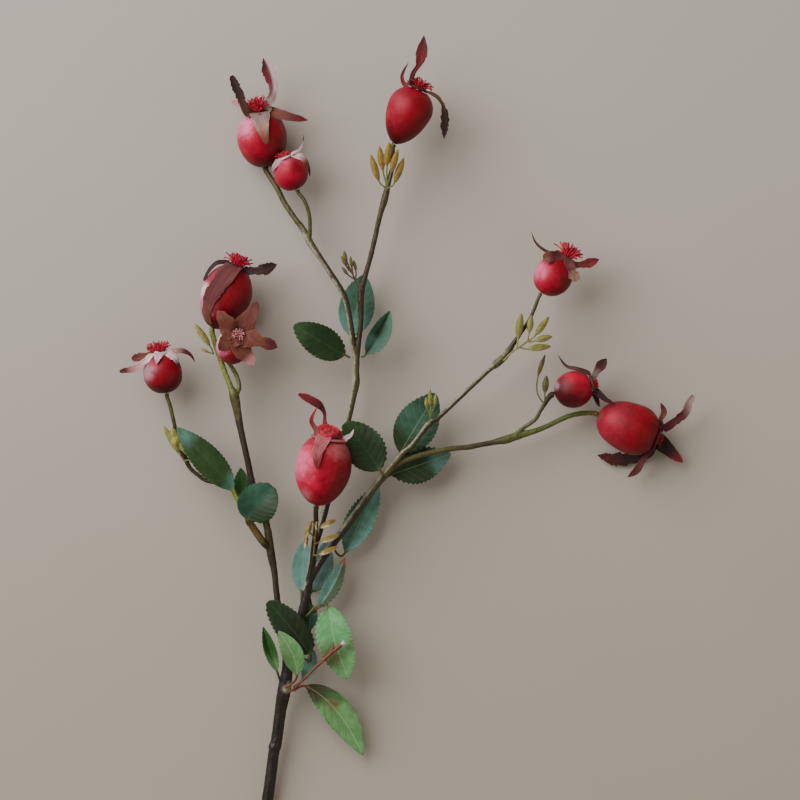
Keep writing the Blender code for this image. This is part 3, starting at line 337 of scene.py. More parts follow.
# Buds and bracts of each cluster: width in mm and the route, whose last two points are the bud's
# foot and tip
BUDS = {
    "01": [
        (3.6, [(386.5, 190, 27), (383.5, 186.5, 27), (379, 181.5, 26.8), (371, 155.5, 26.4)]),
        (3.6, [(387, 189, 27.2), (385, 180, 27.6), (383, 171, 27.8), (379.5, 147, 27.6)]),
        (3.6, [(387, 189, 27.2), (387, 178, 28), (387, 167, 28.6), (389.5, 142.5, 29)]),
        (3.4, [(387, 189, 27.2), (389, 182, 28), (391, 174, 28.8), (398, 150, 29.4)]),
        (3.6, [(386, 191, 27.1), (390, 187.5, 27.6), (394.5, 183.5, 27.6), (404, 158.5, 27.4)]),
    ],
    "02": [
        (1.2, [(503, 361, 29.3), (511, 353, 29.6), (519, 347, 29.6), (528, 341, 29)]),
        (3.9, [(516, 349, 29.6), (517, 344, 29.8), (517.5, 339, 30), (521, 313.5, 30)]),
        (3.4, [(527, 342, 29.2), (528, 337, 29.4), (528.8, 333, 29.4), (531, 315.5, 29.2)]),
        (3.4, [(527, 342, 29.2), (531, 339, 29), (535, 335.5, 28.8), (548.5, 317, 28.4)]),
        (3.4, [(527, 342, 29.2), (531, 342, 28.8), (534.5, 341, 28.4), (552, 336.5, 28)]),
        (3.6, [(518, 347.5, 29.4), (523, 348.5, 28.9), (527, 349, 28.5), (550.5, 346.5, 27.6)]),
    ],
    "03": [
        (3.4, [(184, 461, 17.2), (182, 458, 17.8), (179.5, 454, 18.2), (163.5, 426, 18)]),
        (5.4, [(184, 461, 17.2), (181, 456, 18.4), (179, 452, 19.2), (171.5, 427, 20.2)]),
        (3.6, [(184, 461, 17.2), (188, 460, 17.8), (191.5, 457.5, 18.4), (176, 440, 21)]),
        (2.0, [(184, 461, 17.2), (187, 460.5, 17), (189, 459, 17), (191.5, 453, 17.5)]),
    ],
    "04": [
        (1.2, [(313.5, 556, 22.6), (315, 541, 25.4), (316, 530, 27.6), (317, 521, 29.2)]),
        (3.2, [(316, 531, 27.4), (318, 529, 28), (320.5, 527.5, 28.3), (336, 519.5, 29)]),
        (3.0, [(315, 544, 24.9), (317, 543, 25.4), (319.5, 542, 25.6), (339, 535, 26)]),
        (3.0, [(314, 555, 22.8), (316, 555, 23.2), (318.5, 554.5, 23.4), (338, 546.5, 24)]),
        (2.8, [(316, 527, 28.2), (314, 523, 28.5), (311.5, 521.5, 28.5), (306, 538, 26.8)]),
        (2.4, [(315, 540, 25.7), (311, 533, 26.2), (307, 533, 26), (305.5, 549, 23.5)]),
    ],
    "05": [
        (3.4, [(544, 404, 21.8), (544.6, 398, 22.3), (544.8, 393, 22.3), (546.5, 375.5, 21.5)]),
        (2.4, [
            (544, 404, 21.8), (539, 397, 21.8), (536.6, 389, 21.7), (538, 376, 21.5), (545, 355, 21.2),
        ]),
    ],
    "06": [
        (2.0, [(360, 293, 23.4), (357, 284, 23.8), (352, 273, 24), (347, 262, 24), (344, 251, 24)]),
        (1.8, [(352, 273, 24), (349, 270, 24.4), (346.5, 266.5, 24.4), (341.5, 256, 24.6)]),
        (1.8, [(353, 275, 24), (352.4, 271, 24.4), (352, 268, 24.6), (350.5, 256.5, 24.8)]),
        (1.8, [(355, 280, 23.9), (356, 276, 23.9), (356, 271, 23.8), (354, 260.5, 23.8)]),
        (1.8, [(355, 280, 23.9), (351, 277, 23.5), (348, 275, 23.4), (342, 267, 23)]),
    ],
    "07": [
        (2.2, [(429.7, 424, 25.4), (430.5, 414, 25.8), (430.5, 406, 26), (429.7, 388, 26)]),
        (2.0, [(430.4, 416, 25.7), (428.5, 411, 26), (427, 408, 26), (425.8, 397.5, 26)]),
        (2.0, [(430.4, 416, 25.7), (433, 410, 25.9), (434.5, 406, 26), (435.7, 394.5, 26)]),
    ],
    "08": [
        (3.4, [(213.5, 354, 18.4), (212, 350, 18.7), (210, 346, 19), (194.5, 323.5, 19)]),
        (1.8, [(213.5, 354, 18.4), (211, 353, 18.4), (208, 352, 18.2), (200.5, 348.5, 17.6)]),
    ],
}
LEAF_STALK = [
    (289, 693, 14.8, 0.6), (296, 687, 19, 0.55), (305, 678, 23.5, 0.6), (322, 661, 25, 0.8),
    (345, 641.5, 26, 1.1),
]
THORN = [(331, 653, 25.4, 1.1), (333, 648, 25.8, 0.6), (333, 641, 26, 0.1)]

# Colours of a hip: its middle, its base, and how much pale bloom it has, which is also a painted
# highlight on its side towards the window light
HIP_TINTS = {
    "01": ("crimson", "oxblood", 0.7),
    "02": ("scarlet", "crimson", 0.4),
    "03": ("crimson", "oxblood", 0.25),
    "04": ("crimson", "oxblood", 0.6),
    "05": ("crimson", "crimson", 0.9),
    "06": ("crimson", "oxblood", 0.6),
    "07": ("crimson", "crimson", 0.9),
    "08": ("crimson", "crimson", 0.8),
    "09": ("scarlet", "oxblood", 0.4),
    "10": ("crimson", "crimson", 0.25),
}
# Mottled patches of colour: the colour, its strength, its middle and its radius in pixels. The rose, pale
# bloom and shell patches on the hips' sides towards the window light are painted highlights mixed with
# the pale bloom.
HIP_PATCHES = {
    "01": [("rose", 0.6, (246, 138), 22), ("bloom_and_highlight", 0.85, (242, 125), 12), ("lilac", 0.6, (241, 118), 6)],
    "02": [("bloom_and_highlight", 0.3, (287, 160), 6), ("oxblood", 0.5, (297, 166), 8)],
    "03": [("rose", 0.3, (389, 108), 18)],
    "04": [("bloom_and_highlight", 0.7, (200, 304), 14), ("shell", 0.9, (203, 290), 8)],
    "05": [("bloom_and_highlight", 0.9, (221, 345), 10), ("shell", 0.8, (220, 336), 7)],
    "06": [("lilac", 0.55, (144, 372), 10)],
    "07": [
        ("rose", 0.95, (298, 468), 32), ("bloom_and_highlight", 0.75, (293, 462), 18), ("dusty", 0.7, (341, 448), 12),
        ("lilac", 0.3, (304, 495), 7),
    ],
    "08": [("rose", 0.55, (543, 277), 15), ("bloom_and_highlight", 0.65, (536, 270), 10)],
    "09": [
        ("rose", 0.4, (581, 378), 12), ("oxblood", 0.9, (565, 401), 20), ("lilac", 0.6, (554, 385), 5),
    ],
    "10": [("rose", 0.35, (604, 422), 16), ("ochre", 0.6, (598, 415), 5)],
}
# Such patches on leaves and on the stem. The mist patches on leaves 03 and 09 are painted highlights, and
# the olive ones on leaf 15 painted shadow of the leaf stalk.
LEAF_PATCHES = {
    "03": [("mist", 0.6, (369, 341), 8)],
    "05": [("teal", 0.5, (408, 420), 15)],
    "06": [("mist", 0.55, (442, 461), 13)],
    "09": [("mist", 0.55, (186, 438), 9), ("mist", 0.45, (234, 476), 6)],
    "11": [("teal", 0.85, (256, 491), 16), ("forest", 0.7, (265, 512), 9)],
    "15": [("olive", 0.9, (330, 657), 15), ("olive", 0.7, (351, 645), 6)],
    "17": [("umber", 0.9, (314, 690), 15), ("wine", 0.5, (333, 705), 7)],
}
STEM_PATCHES = [("pale_flake_and_highlight", 0.75, (286, 690), 4), ("pale_flake_and_highlight", 0.75, (290, 686), 4)]

# Height in mm above a calyx's foot, and radius over the crown's, of the disc from foot to top
DISC_PROFILE = [(0, 0.8), (0.15, 0.95), (0.5, 1.06), (0.9, 1.05), (1.25, 0.95), (1.4, 0.8), (1.2, 0.5)]

# Outlines of a sepal: (share of its length, share of its width)
OUTLINES = {
    "leafy": [(0, 0.85), (0.25, 0.62), (0.42, 0.6), (0.7, 1), (0.87, 0.7), (1, 0.06)],
    "spoon": [(0, 0.8), (0.2, 0.5), (0.4, 0.42), (0.68, 1), (0.9, 0.8), (1, 0.3)],
    "tongue": [(0, 1), (0.35, 0.95), (0.6, 0.75), (0.85, 0.5), (1, 0.1)],
    "horn": [(0, 1), (0.3, 0.75), (0.6, 0.6), (0.85, 0.3), (1, 0.05)],
    "strap": [(0, 0.9), (0.3, 0.7), (0.7, 0.75), (0.92, 0.6), (1, 0.3)],
    "broad": [(0, 0.95), (0.3, 1), (0.6, 0.85), (0.85, 0.45), (1, 0.06)],
    "flap": [(0, 1.1), (0.2, 0.7), (0.45, 0.35), (0.6, 0.6), (0.68, 1), (0.9, 0.9), (1, 0.3)],
    "blade": [(0, 0.7), (0.35, 0.5), (0.5, 0.55), (0.68, 1), (0.85, 0.95), (0.93, 0.5), (1, 0.05)],
    "paddle": [(0, 0.7), (0.25, 0.4), (0.45, 0.4), (0.65, 1), (0.82, 0.9), (1, 0.05)],
    "wedge": [(0, 1.1), (0.25, 1), (0.5, 0.8), (0.75, 0.5), (0.92, 0.35), (1, 0.1)],
    "stub": [(0, 1), (0.3, 0.9), (0.6, 1), (0.9, 0.9), (1, 0.5)],
    "web": [(0, 1.3), (0.4, 1.15), (0.6, 0.85), (0.85, 0.6), (1, 0.1)],
    "webhook": [(0, 1.3), (0.35, 1.1), (0.55, 0.55), (0.75, 0.75), (0.9, 0.55), (1, 0.05)],
}
# How each sepal looks: its outline, number of teeth, their depth, how much its edges curl up, the
# colours of its root, middle and tip, and the colour of its left half where that differs
SEPAL_LOOKS = {
    "01": [
        ("strap", 6, 0.45, 0.3, "brown", "dusk", "dusk"),
        ("blade", 5, 0.3, 0.25, "grey", "wine", "maroon", "lilac"),
        ("tongue", 2, 0.1, 0.2, "clay", "rosewood", "wine"),
        ("wedge", 2, 0.1, 0.1, "grey", "tan", "clay"),
        ("leafy", 3, 0.3, 0.2, "grey", "blush", "blush"),
    ],
    "02": [
        ("tongue", 2, 0.1, 0.2, "shell", "clay", "maroon"),
        ("horn", 0, 0, 0.2, "shell", "lilac", "dusk"),
        ("tongue", 3, 0.2, 0.1, "lilac", "lilac", "grey"),
        ("horn", 2, 0.1, 0.2, "brown", "brown", "maroon"),
        ("horn", 2, 0.1, 0.2, "brown", "brown", "maroon"),
    ],
    "03": [
        ("paddle", 3, 0.2, 0.25, "maroon", "wine", "maroon"),
        ("horn", 0, 0, 0.3, "wine", "wine", "maroon"),
        ("paddle", 6, 0.45, 0.25, "brown", "dusk", "dusk"),
        ("horn", 2, 0.1, 0.3, "brown", "maroon", "maroon"),
        ("horn", 2, 0.1, 0.3, "brown", "maroon", "maroon"),
    ],
    "04": [
        ("leafy", 3, 0.35, 0.2, "dusk", "dusk", "dusk"),
        ("broad", 5, 0.2, 0.08, "rosewood", "rosewood", "clay"),
        ("strap", 2, 0.1, 0.1, "dusk", "dusk", "dusk"),
        ("horn", 2, 0.1, 0.3, "brown", "dusk", "dusk"),
        ("horn", 2, 0.1, 0.3, "brown", "dusk", "dusk"),
    ],
    "05": [
        ("web", 3, 0.12, 0.08, "salmon", "salmon", "rosewood"),
        ("webhook", 4, 0.15, 0.08, "salmon", "salmon", "maroon"),
        ("web", 3, 0.12, 0.08, "salmon", "salmon", "blush"),
        ("web", 2, 0.12, 0.08, "salmon", "salmon", "clay"),
        ("web", 2, 0.12, 0.08, "salmon", "salmon", "maroon"),
    ],
    "06": [
        ("strap", 3, 0.25, 0.2, "shell", "blush", "maroon"),
        ("spoon", 3, 0.25, 0.2, "clay", "clay", "rosewood"),
        ("horn", 0, 0, 0.2, "blush", "maroon", "maroon"),
        ("broad", 4, 0.35, 0.1, "shell", "shell", "lilac"),
        ("broad", 3, 0.3, 0.1, "shell", "lilac", "dusk"),
    ],
    "07": [
        ("tongue", 3, 0.15, 0.1, "dusty", "dusty", "wine"),
        ("horn", 2, 0.1, 0.3, "dusty", "wine", "red"),
        ("flap", 2, 0.15, 0.2, "dusty", "maroon", "wine"),
        ("horn", 0, 0, 0.2, "blush", "shell", "shell"),
        ("broad", 2, 0.1, 0.2, "wine", "wine", "maroon"),
    ],
    "08": [
        ("horn", 0, 0, 0.2, "brown", "brown", "maroon"),
        ("stub", 3, 0.25, 0.3, "rosewood", "rosewood", "clay"),
        ("stub", 5, 0.4, 0.2, "rosewood", "rosewood", "tan"),
        ("leafy", 3, 0.2, 0.3, "clay", "wine", "wine"),
        ("horn", 2, 0.1, 0.3, "clay", "wine", "maroon"),
    ],
    "09": [
        ("horn", 0, 0, 0.2, "brown", "brown", "dusk"),
        ("leafy", 2, 0.1, 0.25, "grey", "maroon", "dusk"),
        ("tongue", 2, 0.15, 0.2, "dusk", "dusk", "maroon"),
        ("tongue", 3, 0.3, 0.2, "dusk", "dusk", "maroon"),
        ("horn", 2, 0.1, 0.3, "dusk", "dusk", "dusk"),
    ],
    "10": [
        ("leafy", 0, 0, 0.3, "maroon", "clay", "maroon"),
        ("strap", 4, 0.3, 0.3, "maroon", "maroon", "grey"),
        ("tongue", 3, 0.12, 0.15, "dusk", "dusk", "wine"),
        ("leafy", 0, 0, 0.2, "maroon", "rosewood", "maroon"),
        ("leafy", 5, 0.4, 0.15, "dusk", "dusk", "maroon"),
    ],
}

# Stamens of each hip: how many, their length in mm, how far they lean out in degrees, and their
# spread over the crown's radius
STAMENS = {
    "01": (110, 6, 45, 0.5), "02": (26, 2.5, 50, 0.5), "03": (80, 4.2, 70, 0.6),
    "04": (100, 5.2, 50, 0.6), "05": (34, 1.6, 60, 0.45), "06": (100, 5.2, 55, 0.6),
    "07": (0, 5, 0, 0.8), "08": (90, 6.6, 50, 0.6), "09": (24, 2, 50, 0.3), "10": (24, 2, 50, 0.3),
}
# Colour mixed into a hip's stamens where it has its own
STAMEN_TINTS = {"05": "shell"}

# Colours of a leaf: its main one, its second one, and where that second one shows; a darker second one
# along the fold is painted shade in the crease
LEAF_TINTS = {
    "01": ("forest", "moss", "tip"),
    "02": ("teal", "mist", "root"),
    "03": ("teal", "forest", "fold"),
    "04": ("forest", "moss", "tip"),
    "05": ("jade", "forest", "root"),
    "06": ("forest", "jade", "tip"),
    "07": ("teal", "mist", "left"),
    "08": ("mist", "mist", "tip"),
    "09": ("moss", "teal", "ends"),
    "10": ("fern", "moss", "root"),
    "11": ("jade", "forest", "left"),
    "12": ("pine", "forest", "tip"),
    "13": ("fern", "sage", "root"),
    "14": ("sage", "sage", "tip"),
    "15": ("mint", "sage", "tip"),
    "16": ("mist", "teal", "root"),
    "17": ("sage", "fern", "root"),
    "18": ("teal", "mint", "root"),
    "19": ("mist", "moss", "left"),
    "20": ("slate", "slate", "root"),
}
# Colour of a leaf's stalk where it isn't khaki
STALK_TINTS = {
    "09": "lime", "13": "umber", "14": "copper", "15": "olive", "17": "brick", "19": "copper",
}
# Colour of a leaf's tip where it has its own
TIP_TINTS = {"19": "rust"}
# Depth of a leaf's saw teeth over the usual one
TOOTH_SHARES = {
    "01": 0.7, "02": 0.25, "03": 0.5, "05": 0.6, "07": 1.2, "08": 0.25, "09": 0.6, "10": 0.6,
    "11": 0.6, "12": 0.7, "13": 0.4, "14": 0.25, "15": 1.4, "16": 0.3, "17": 0.3, "18": 0.3,
    "19": 0.8, "20": 0.25,
}
VEINS = 8  # side veins in each half of a leaf

# Colours of the stem along each route: (share of its length, colour), the first and last one going
# on to the ends
BARK = {
    "trunk": [
        (0.38, "ebony"), (0.46, "bark"), (0.55, "bark"), (0.62, "khaki"), (0.68, "bark"), (0.81, "bark"),
        (0.82, "khaki"), (0.86, "khaki"), (0.89, "lime"),
    ],
    "left": [
        (0.04, "bark"), (0.07, "sheath"), (0.18, "sheath"), (0.22, "lime"), (0.38, "lime"),
        (0.44, "umber"), (0.8, "umber"), (0.92, "khaki"),
    ],
    "centre": [(0.6, "ebony"), (0.8, "bark"), (1, "umber")],
    "top": [(0, "ebony"), (0.25, "bark"), (0.45, "khaki"), (0.7, "umber"), (0.85, "khaki")],
    "top right": [(0.5, "umber"), (1, "khaki")],
    "right": [
        (0, "ebony"), (0.25, "bark"), (0.4, "khaki"), (0.6, "umber"), (0.8, "khaki"), (0.85, "bark"),
        (0.92, "umber"), (1, "khaki"),
    ],
    "lower right": [(0.3, "khaki"), (0.5, "umber"), (0.65, "grass"), (0.95, "grass"), (1, "ochre")],
    "hip 02": [(1, "khaki")],
    "hip 05": [(1, "grass")],
    "hip 09": [(0, "grass"), (1, "umber")],
}
# How much pale, flaking bark a route has, which is also a painted highlight on its side towards the
# window light
USUAL_FLAKING_AND_HIGHLIGHT = 0.15
FLAKING_AND_HIGHLIGHT = {"trunk": 0.25, "left": 0.1, "centre": 0.4, "top": 0.75, "right": 0.7}

# Colours of each cluster of buds: stalk, body and tip, and how strong the painted highlight along their
# lower edges is
BUD_TINTS = {
    "01": ("grass", "mustard", "ochre", 0.1),
    "02": ("straw", "citron", "straw", 0.2),
    "03": ("citron", "citron", "lemon", 0.1),
    "04": ("sheath", "mustard", "rust", 0.9),
    "05": ("grass", "khaki", "khaki", 0),
    "06": ("umber", "khaki", "mustard", 0),
    "07": ("grass", "citron", "lemon", 0.2),
    "08": ("grass", "citron", "lemon", 0.2),
}

# Red, green and blue of each colour, from 0 to 255
COLOURS = {
    "crimson": (142, 2, 27), "scarlet": (180, 5, 46), "oxblood": (74, 4, 12),
    "bloom_and_highlight": (242, 132, 172), "rose": (208, 20, 62),
    "dusk": (58, 36, 37), "maroon": (86, 34, 38), "wine": (122, 38, 46), "red": (168, 42, 50),
    "brown": (96, 66, 56), "clay": (128, 76, 64), "salmon": (112, 62, 50),
    "rosewood": (112, 60, 62), "tan": (164, 130, 114), "grey": (150, 128, 124),
    "dusty": (178, 98, 104),
    "lilac": (190, 167, 174), "blush": (210, 148, 153), "shell": (230, 202, 203),
    "cream": (226, 226, 196),
    "pine": (26, 42, 20), "forest": (28, 52, 22), "moss": (42, 66, 28), "fern": (46, 86, 38),
    "jade": (38, 76, 58), "teal": (62, 104, 88), "mist": (106, 154, 146), "slate": (112, 146, 146),
    "sage": (104, 154, 96), "mint": (104, 172, 114), "olive": (84, 84, 44),
    "ebony": (35, 27, 23), "bark": (54, 44, 30), "umber": (62, 50, 32), "khaki": (84, 80, 40),
    "ochre": (136, 104, 46), "sheath": (104, 84, 44), "lime": (128, 140, 62),
    "grass": (92, 104, 44), "straw": (140, 134, 72), "mustard": (138, 112, 34),
    "citron": (128, 128, 58), "lemon": (180, 184, 80), "rust": (178, 76, 44),
    "brick": (128, 58, 42), "copper": (116, 68, 40),
    "pollen": (218, 30, 60), "anther": (132, 14, 34), "pale_flake_and_highlight": (176, 172, 150),
    "vein": (184, 202, 160),
}


def linear(name):
    """A colour by its name, as linear light."""
    share = np.array(COLOURS[name]) / 255
    return np.where(share <= 0.04045, share / 12.92, ((share + 0.055) / 1.055) ** 2.4)


def between(stops, shares):
    """Colours at the given shares of a length, from (share, colour name) stops."""
    places = [place for place, _ in stops]
    values = np.array([linear(name) for _, name in stops])
    return np.column_stack([np.interp(shares, places, channel) for channel in values.T])


def mixed(first, second, amount):
    """Colours mixed by an amount, one for all or one for each."""
    amount = np.clip(np.asarray(amount), 0, 1)[..., None]
    return first * (1 - amount) + second * amount


def ramp(value, low, high):
    """0 at low, 1 at high, and smooth between."""
    share = np.clip((value - low) / (high - low), 0, 1)
    return share * share * (3 - 2 * share)


def patched(tint, points, grain, patches):
    """Colours with mottled round patches over them."""
    for name, strength, place, size in patches:
        middle = np.array(spot((*place, 0)))[:2]
        far = np.linalg.norm(points[..., :2] - middle, axis=-1) / (size * PIXEL)
        tint = mixed(tint, linear(name), ramp(1.5 - far + 0.25 * grain, 0, 1.2) * strength)
    return tint


def at_each(places, measure):
    """A measure of each place."""
    values = [measure(Vector(place)) for place in places.reshape(-1, 3)]
    return np.array(values).reshape(places.shape[:-1])


def unit(vector):
    """A direction of length one, for one row or many."""
    return vector / np.linalg.norm(vector, axis=-1, keepdims=True)


def facing(directions, x, y, z):
    """How much the directions point to x, y, z: 1 where they do, -1 where they point away."""
    return directions @ unit(np.array([x, y, z]))


def spot(point):
    """A place in the photo, with its height, as a place on the table in metres."""
    across, down, height = point[:3]
    return Vector(
        (across * PIXEL - MIDDLE[0], (PHOTO_SIDE - down) * PIXEL - MIDDLE[1], height * MM)
    )


def route_in_metres(points):
    """Points of a route as rows of x, y, z and, where given, the radius."""
    return np.array([[*spot(point), *(value * MM for value in point[3:])] for point in points])


def smooth(rows):
    """A Catmull-Rom curve through the rows, with the same number of steps in each stretch."""
    ends = np.vstack([2 * rows[0] - rows[1], rows, 2 * rows[-1] - rows[-2]])
    curve = []
    for a, b, c, d in zip(ends, ends[1:], ends[2:], ends[3:]):
        for t in np.arange(CURVE_STEPS) / CURVE_STEPS:
            curve.append(
                b + 0.5 * t * (c - a + t * (2 * a - 5 * b + 4 * c - d + t * (3 * (b - c) + d - a)))
            )
    return np.array(curve + [rows[-1]])


def distances(rows):
    """How far along the route each row is."""
    return np.concatenate([[0], np.cumsum(np.linalg.norm(np.diff(rows[:, :3], axis=0), axis=1))])


def stations(rows, places):
    """Rows of a smooth route at the given distances along it."""
    along = distances(rows)
    return np.column_stack([np.interp(places, along, column) for column in rows.T])


def frames(points, up, level=False):
    """The direction, side and face at each point of a route.

    The face turns with the route and never about it, or on a level route it always looks up.
    """
    tangents = []
    for index in range(len(points)):
        before = points[max(index - 1, 0)]
        after = points[min(index + 1, len(points) - 1)]
        tangents.append((after - before).normalized())
    face = up
    result = []
    for index, tangent in enumerate(tangents):
        if level:
            face = up
        elif index:
            face = tangents[index - 1].rotation_difference(tangent) @ face
        face = (face - tangent * face.dot(tangent)).normalized()
        result.append((tangent, face.cross(tangent), face))
    return result


def circle(side, face, count):
    """Angles all around a rod, and its outward directions there."""
    turn = np.linspace(0, 2 * np.pi, count, endpoint=False)
    return turn, np.cos(turn)[:, None] * np.array(side) + np.sin(turn)[:, None] * np.array(face)


def crossways(start, end):
    """The side and the face of the line between two places."""
    return frames([start, end], UP)[0][1:]


def tube(rows, sides, up=UP, ridge=0):
    """Rings of a rod along rows of place and radius, with five ridges of a share of its radius."""
    centres = [Vector(row[:3]) for row in rows]
    rings = []
    for centre, row, (_, side, face) in zip(centres, rows, frames(centres, up)):
        turn, outward = circle(side, face, sides)
        rings.append(np.array(centre) + outward * row[3] * (1 + ridge * np.cos(5 * turn)[:, None]))
    return np.array(rings)


def with_ends(values):
    """Values on rings as one row for each point of their skin."""
    rows = values.reshape(-1, *values.shape[2:])
    return np.concatenate([rows, [values[0].mean(axis=0)], [values[-1].mean(axis=0)]])


def skin(rings, *values):
    """A closed skin over rings of points, with a fan at either end: its points, faces and values."""
    rows, count = rings.shape[:2]
    beyond = [(k, (k + 1) % count) for k in range(count)]
    end = (rows - 1) * count
    faces = [(rows * count, n, k) for k, n in beyond]
    for low in range(0, end, count):
        high = low + count
        faces += [(low + k, low + n, high + n, high + k) for k, n in beyond]
    faces += [(rows * count + 1, end + k, end + n) for k, n in beyond]
    return with_ends(rings), faces, *(with_ends(value) for value in values)


def gather(skins):
    """Several skins with their values as one."""
    points = []
    faces = []
    values = []
    start = 0
    for skin_points, skin_faces, *skin_values in skins:
        points.append(skin_points)
        faces += [tuple(i + start for i in face) for face in skin_faces]
        values.append(skin_values)
        start += len(skin_points)
    return np.vstack(points), faces, *(np.concatenate(column) for column in zip(*values))


def piece(node, part, slot, surface, points, faces, tint, marks=None):
    """A finished part that stands for a node, with its colours and marks at each point."""
    mesh = bpy.data.meshes.new(f"{node}_{part}")
    mesh.from_pydata(points.tolist(), [], faces)
    layer = mesh.attributes.new("tint", "FLOAT_COLOR", "POINT")
    layer.data.foreach_set("color", np.column_stack([tint, np.ones(len(tint))]).ravel())
    if marks is not None:
        layer = mesh.attributes.new("marks", "FLOAT_VECTOR", "POINT")
        layer.data.foreach_set("vector", np.asarray(marks, float).ravel())
    mesh.shade_smooth()
    mesh.materials.append(surface)
    item = bpy.data.objects.new(f"{node}_{part}", mesh)
    bpy.context.scene.collection.objects.link(item)
    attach(item, "root")
    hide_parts(node)


# Hips


def hip_parts(key):
    """A hip's two ends, its direction, its radius, its crown's and its stem's, in metres."""
    base, crown, diameter, stem_radius = HIPS[key]
    base = spot(base)
    crown = spot(crown)
    radius = diameter / 2 * MM
    crown_radius = radius * HIP_FORMS[key][2]
    return base, crown, (crown - base).normalized(), radius, crown_radius, stem_radius * MM


def make_hip(key, surface):
    """A waxy berry, pointed to the stem and flat at the crown, with slight lumps."""
    base, crown, axis, radius, crown_radius, stem_radius = hip_parts(key)
    widest, power, _ = HIP_FORMS[key]
    share = (1 - np.cos(np.pi * np.linspace(0, 1, HIP_RINGS))) / 2
    reach = math.sqrt(1 - (crown_radius / radius) ** 2)
    low = (1 - (1 - np.minimum(share / widest, 1)) ** power) ** (1 / power)
    high = np.sqrt(1 - (np.maximum(share - widest, 0) / (1 - widest) * reach) ** 2)
    wide = np.maximum(radius * np.minimum(low, high), stem_radius)
    turn, outward = circle(*crossways(base, crown), HIP_SIDES)
    middle = np.array(base) + share[:, None] * np.array(crown - base)
    seed = int(key) * 7.3
    lumps = at_each(outward * 1.3 + np.array(axis) * share[:, None, None] * 2.5 + seed, noise.noise)
    ridges = np.cos(5 * turn + seed) * HIP_RIDGES
    spread = 1 + (HIP_LUMPS * lumps + ridges) * np.sin(np.pi * share)[:, None]
    rings = middle[:, None] + outward * (wide[:, None] * spread)[..., None]
    rings[..., 2] = np.maximum(rings[..., 2], 0)
    away = unit(rings - np.array(base.lerp(crown, widest)))
    main, dark, bloom_and_highlight = HIP_TINTS[key]
    patch = at_each(rings, lambda place: noise.fractal(place * HIP_PATCH_SCALE, 0.7, 2.1, 3))
    speckle = at_each(rings, lambda place: noise.fractal(place * HIP_SPECKLE_SCALE, 0.5, 2.1, 4))
    tint = mixed(linear(dark), linear(main), ramp(share[:, None] + 0.1 * patch, 0.0, 0.5))
    # Painted shade: deeper red on the side of the hip away from the window light.
    shade = ramp(facing(away, 0.75, -0.7, 0) + 0.1 * patch, 0.2, 1.1)
    tint = mixed(tint, linear("oxblood"), shade * 0.6)
    # Pale bloom on the side towards the window light, which is also a painted highlight there.
    wax_and_highlight = ramp(facing(away, -0.9, 0.35, 0.25) + 0.15 * patch, 0.3, 1.05) * bloom_and_highlight
    tint = mixed(tint, linear("bloom_and_highlight"), wax_and_highlight * 0.25)
    below = ramp(-away[..., 2], 0, 0.7)
    tint = patched(tint, rings, 0.4 * patch + speckle - 4 * below, HIP_PATCHES[key])
    marks = np.stack([wax_and_highlight, 0 * wax_and_highlight + share[:, None], patch], axis=-1)
    piece(f"hip_{key}", "skin", "hip", surface, *skin(rings, tint, marks))


# Calyxes


def clear_of_hip(key, place):
    """The place itself, or the nearest one outside the hip where it would be inside."""
    base, crown, axis, radius, crown_radius, _ = hip_parts(key)
    middle = base.lerp(crown, HIP_FORMS[key][0])
    along = (place - middle).dot(axis)
    across = (place - middle - axis * along).length
    reach = (crown - middle).length / math.sqrt(1 - (crown_radius / radius) ** 2)
    if along < 0:
        reach = (middle - base).length
    depth = math.hypot(along / (reach + SEPAL_CLEARANCE), across / (radius + SEPAL_CLEARANCE))
    return place if depth >= 1 else middle + (place - middle) / depth


def saw(shares, teeth, dice):
    """Uneven saw teeth along an edge: how far each row stands out, from 0 to 1."""
    if not teeth:
        return np.zeros(len(shares))
    cuts = np.sort([0.4 + 0.55 * (k + dice.uniform(0.1, 0.9)) / teeth for k in range(teeth)])
    starts = np.concatenate([[0.3], cuts])
    ends = np.concatenate([cuts, [1]])
    heights = [dice.uniform(0.5, 1) for _ in starts]
    value = np.zeros(len(shares))
    for start, end, height in zip(starts, ends, heights):
        inside = (shares >= start) & (shares < end)
        value[inside] = height * (shares[inside] - start) / (end - start)
    return value


def sepal_line(key, disc, away, points):
    """Rows along the middle of a sepal, from inside the disc, with their side and face."""
    _, _, axis, _, rim, _ = hip_parts(key)
    beyond = [spot(point) for point in points]
    outward = beyond[0] - disc
    outward -= axis * outward.dot(axis)
    edge = min(rim * 0.95, outward.length * 0.9)
    outward.normalize()
    inner = [disc + outward * min(rim * 0.35, edge / 2), disc + outward * edge]
    rows = smooth(np.array([*inner, *beyond]))
    rows = stations(rows, np.linspace(0, distances(rows)[-1], SEPAL_RINGS))
    rows[5:] = [clear_of_hip(key, Vector(place)) for place in rows[5:]]
    turned = frames([Vector(place) for place in rows], axis)
    if away is not None:
        for index, (tangent, _, _) in enumerate(turned):
            sideways = Vector(rows[index]) - disc
            sideways = (sideways - axis * sideways.dot(axis)).normalized()
            lean = min(1, 2.5 * index / (SEPAL_RINGS - 1))
            face = axis.lerp(UP + sideways * away, lean)
            face = (face - tangent * face.dot(tangent)).normalized()
            turned[index] = (tangent, face.cross(tangent), face)
    return rows, *(np.array([row[k] for row in turned])[:, None] for k in (1, 2))


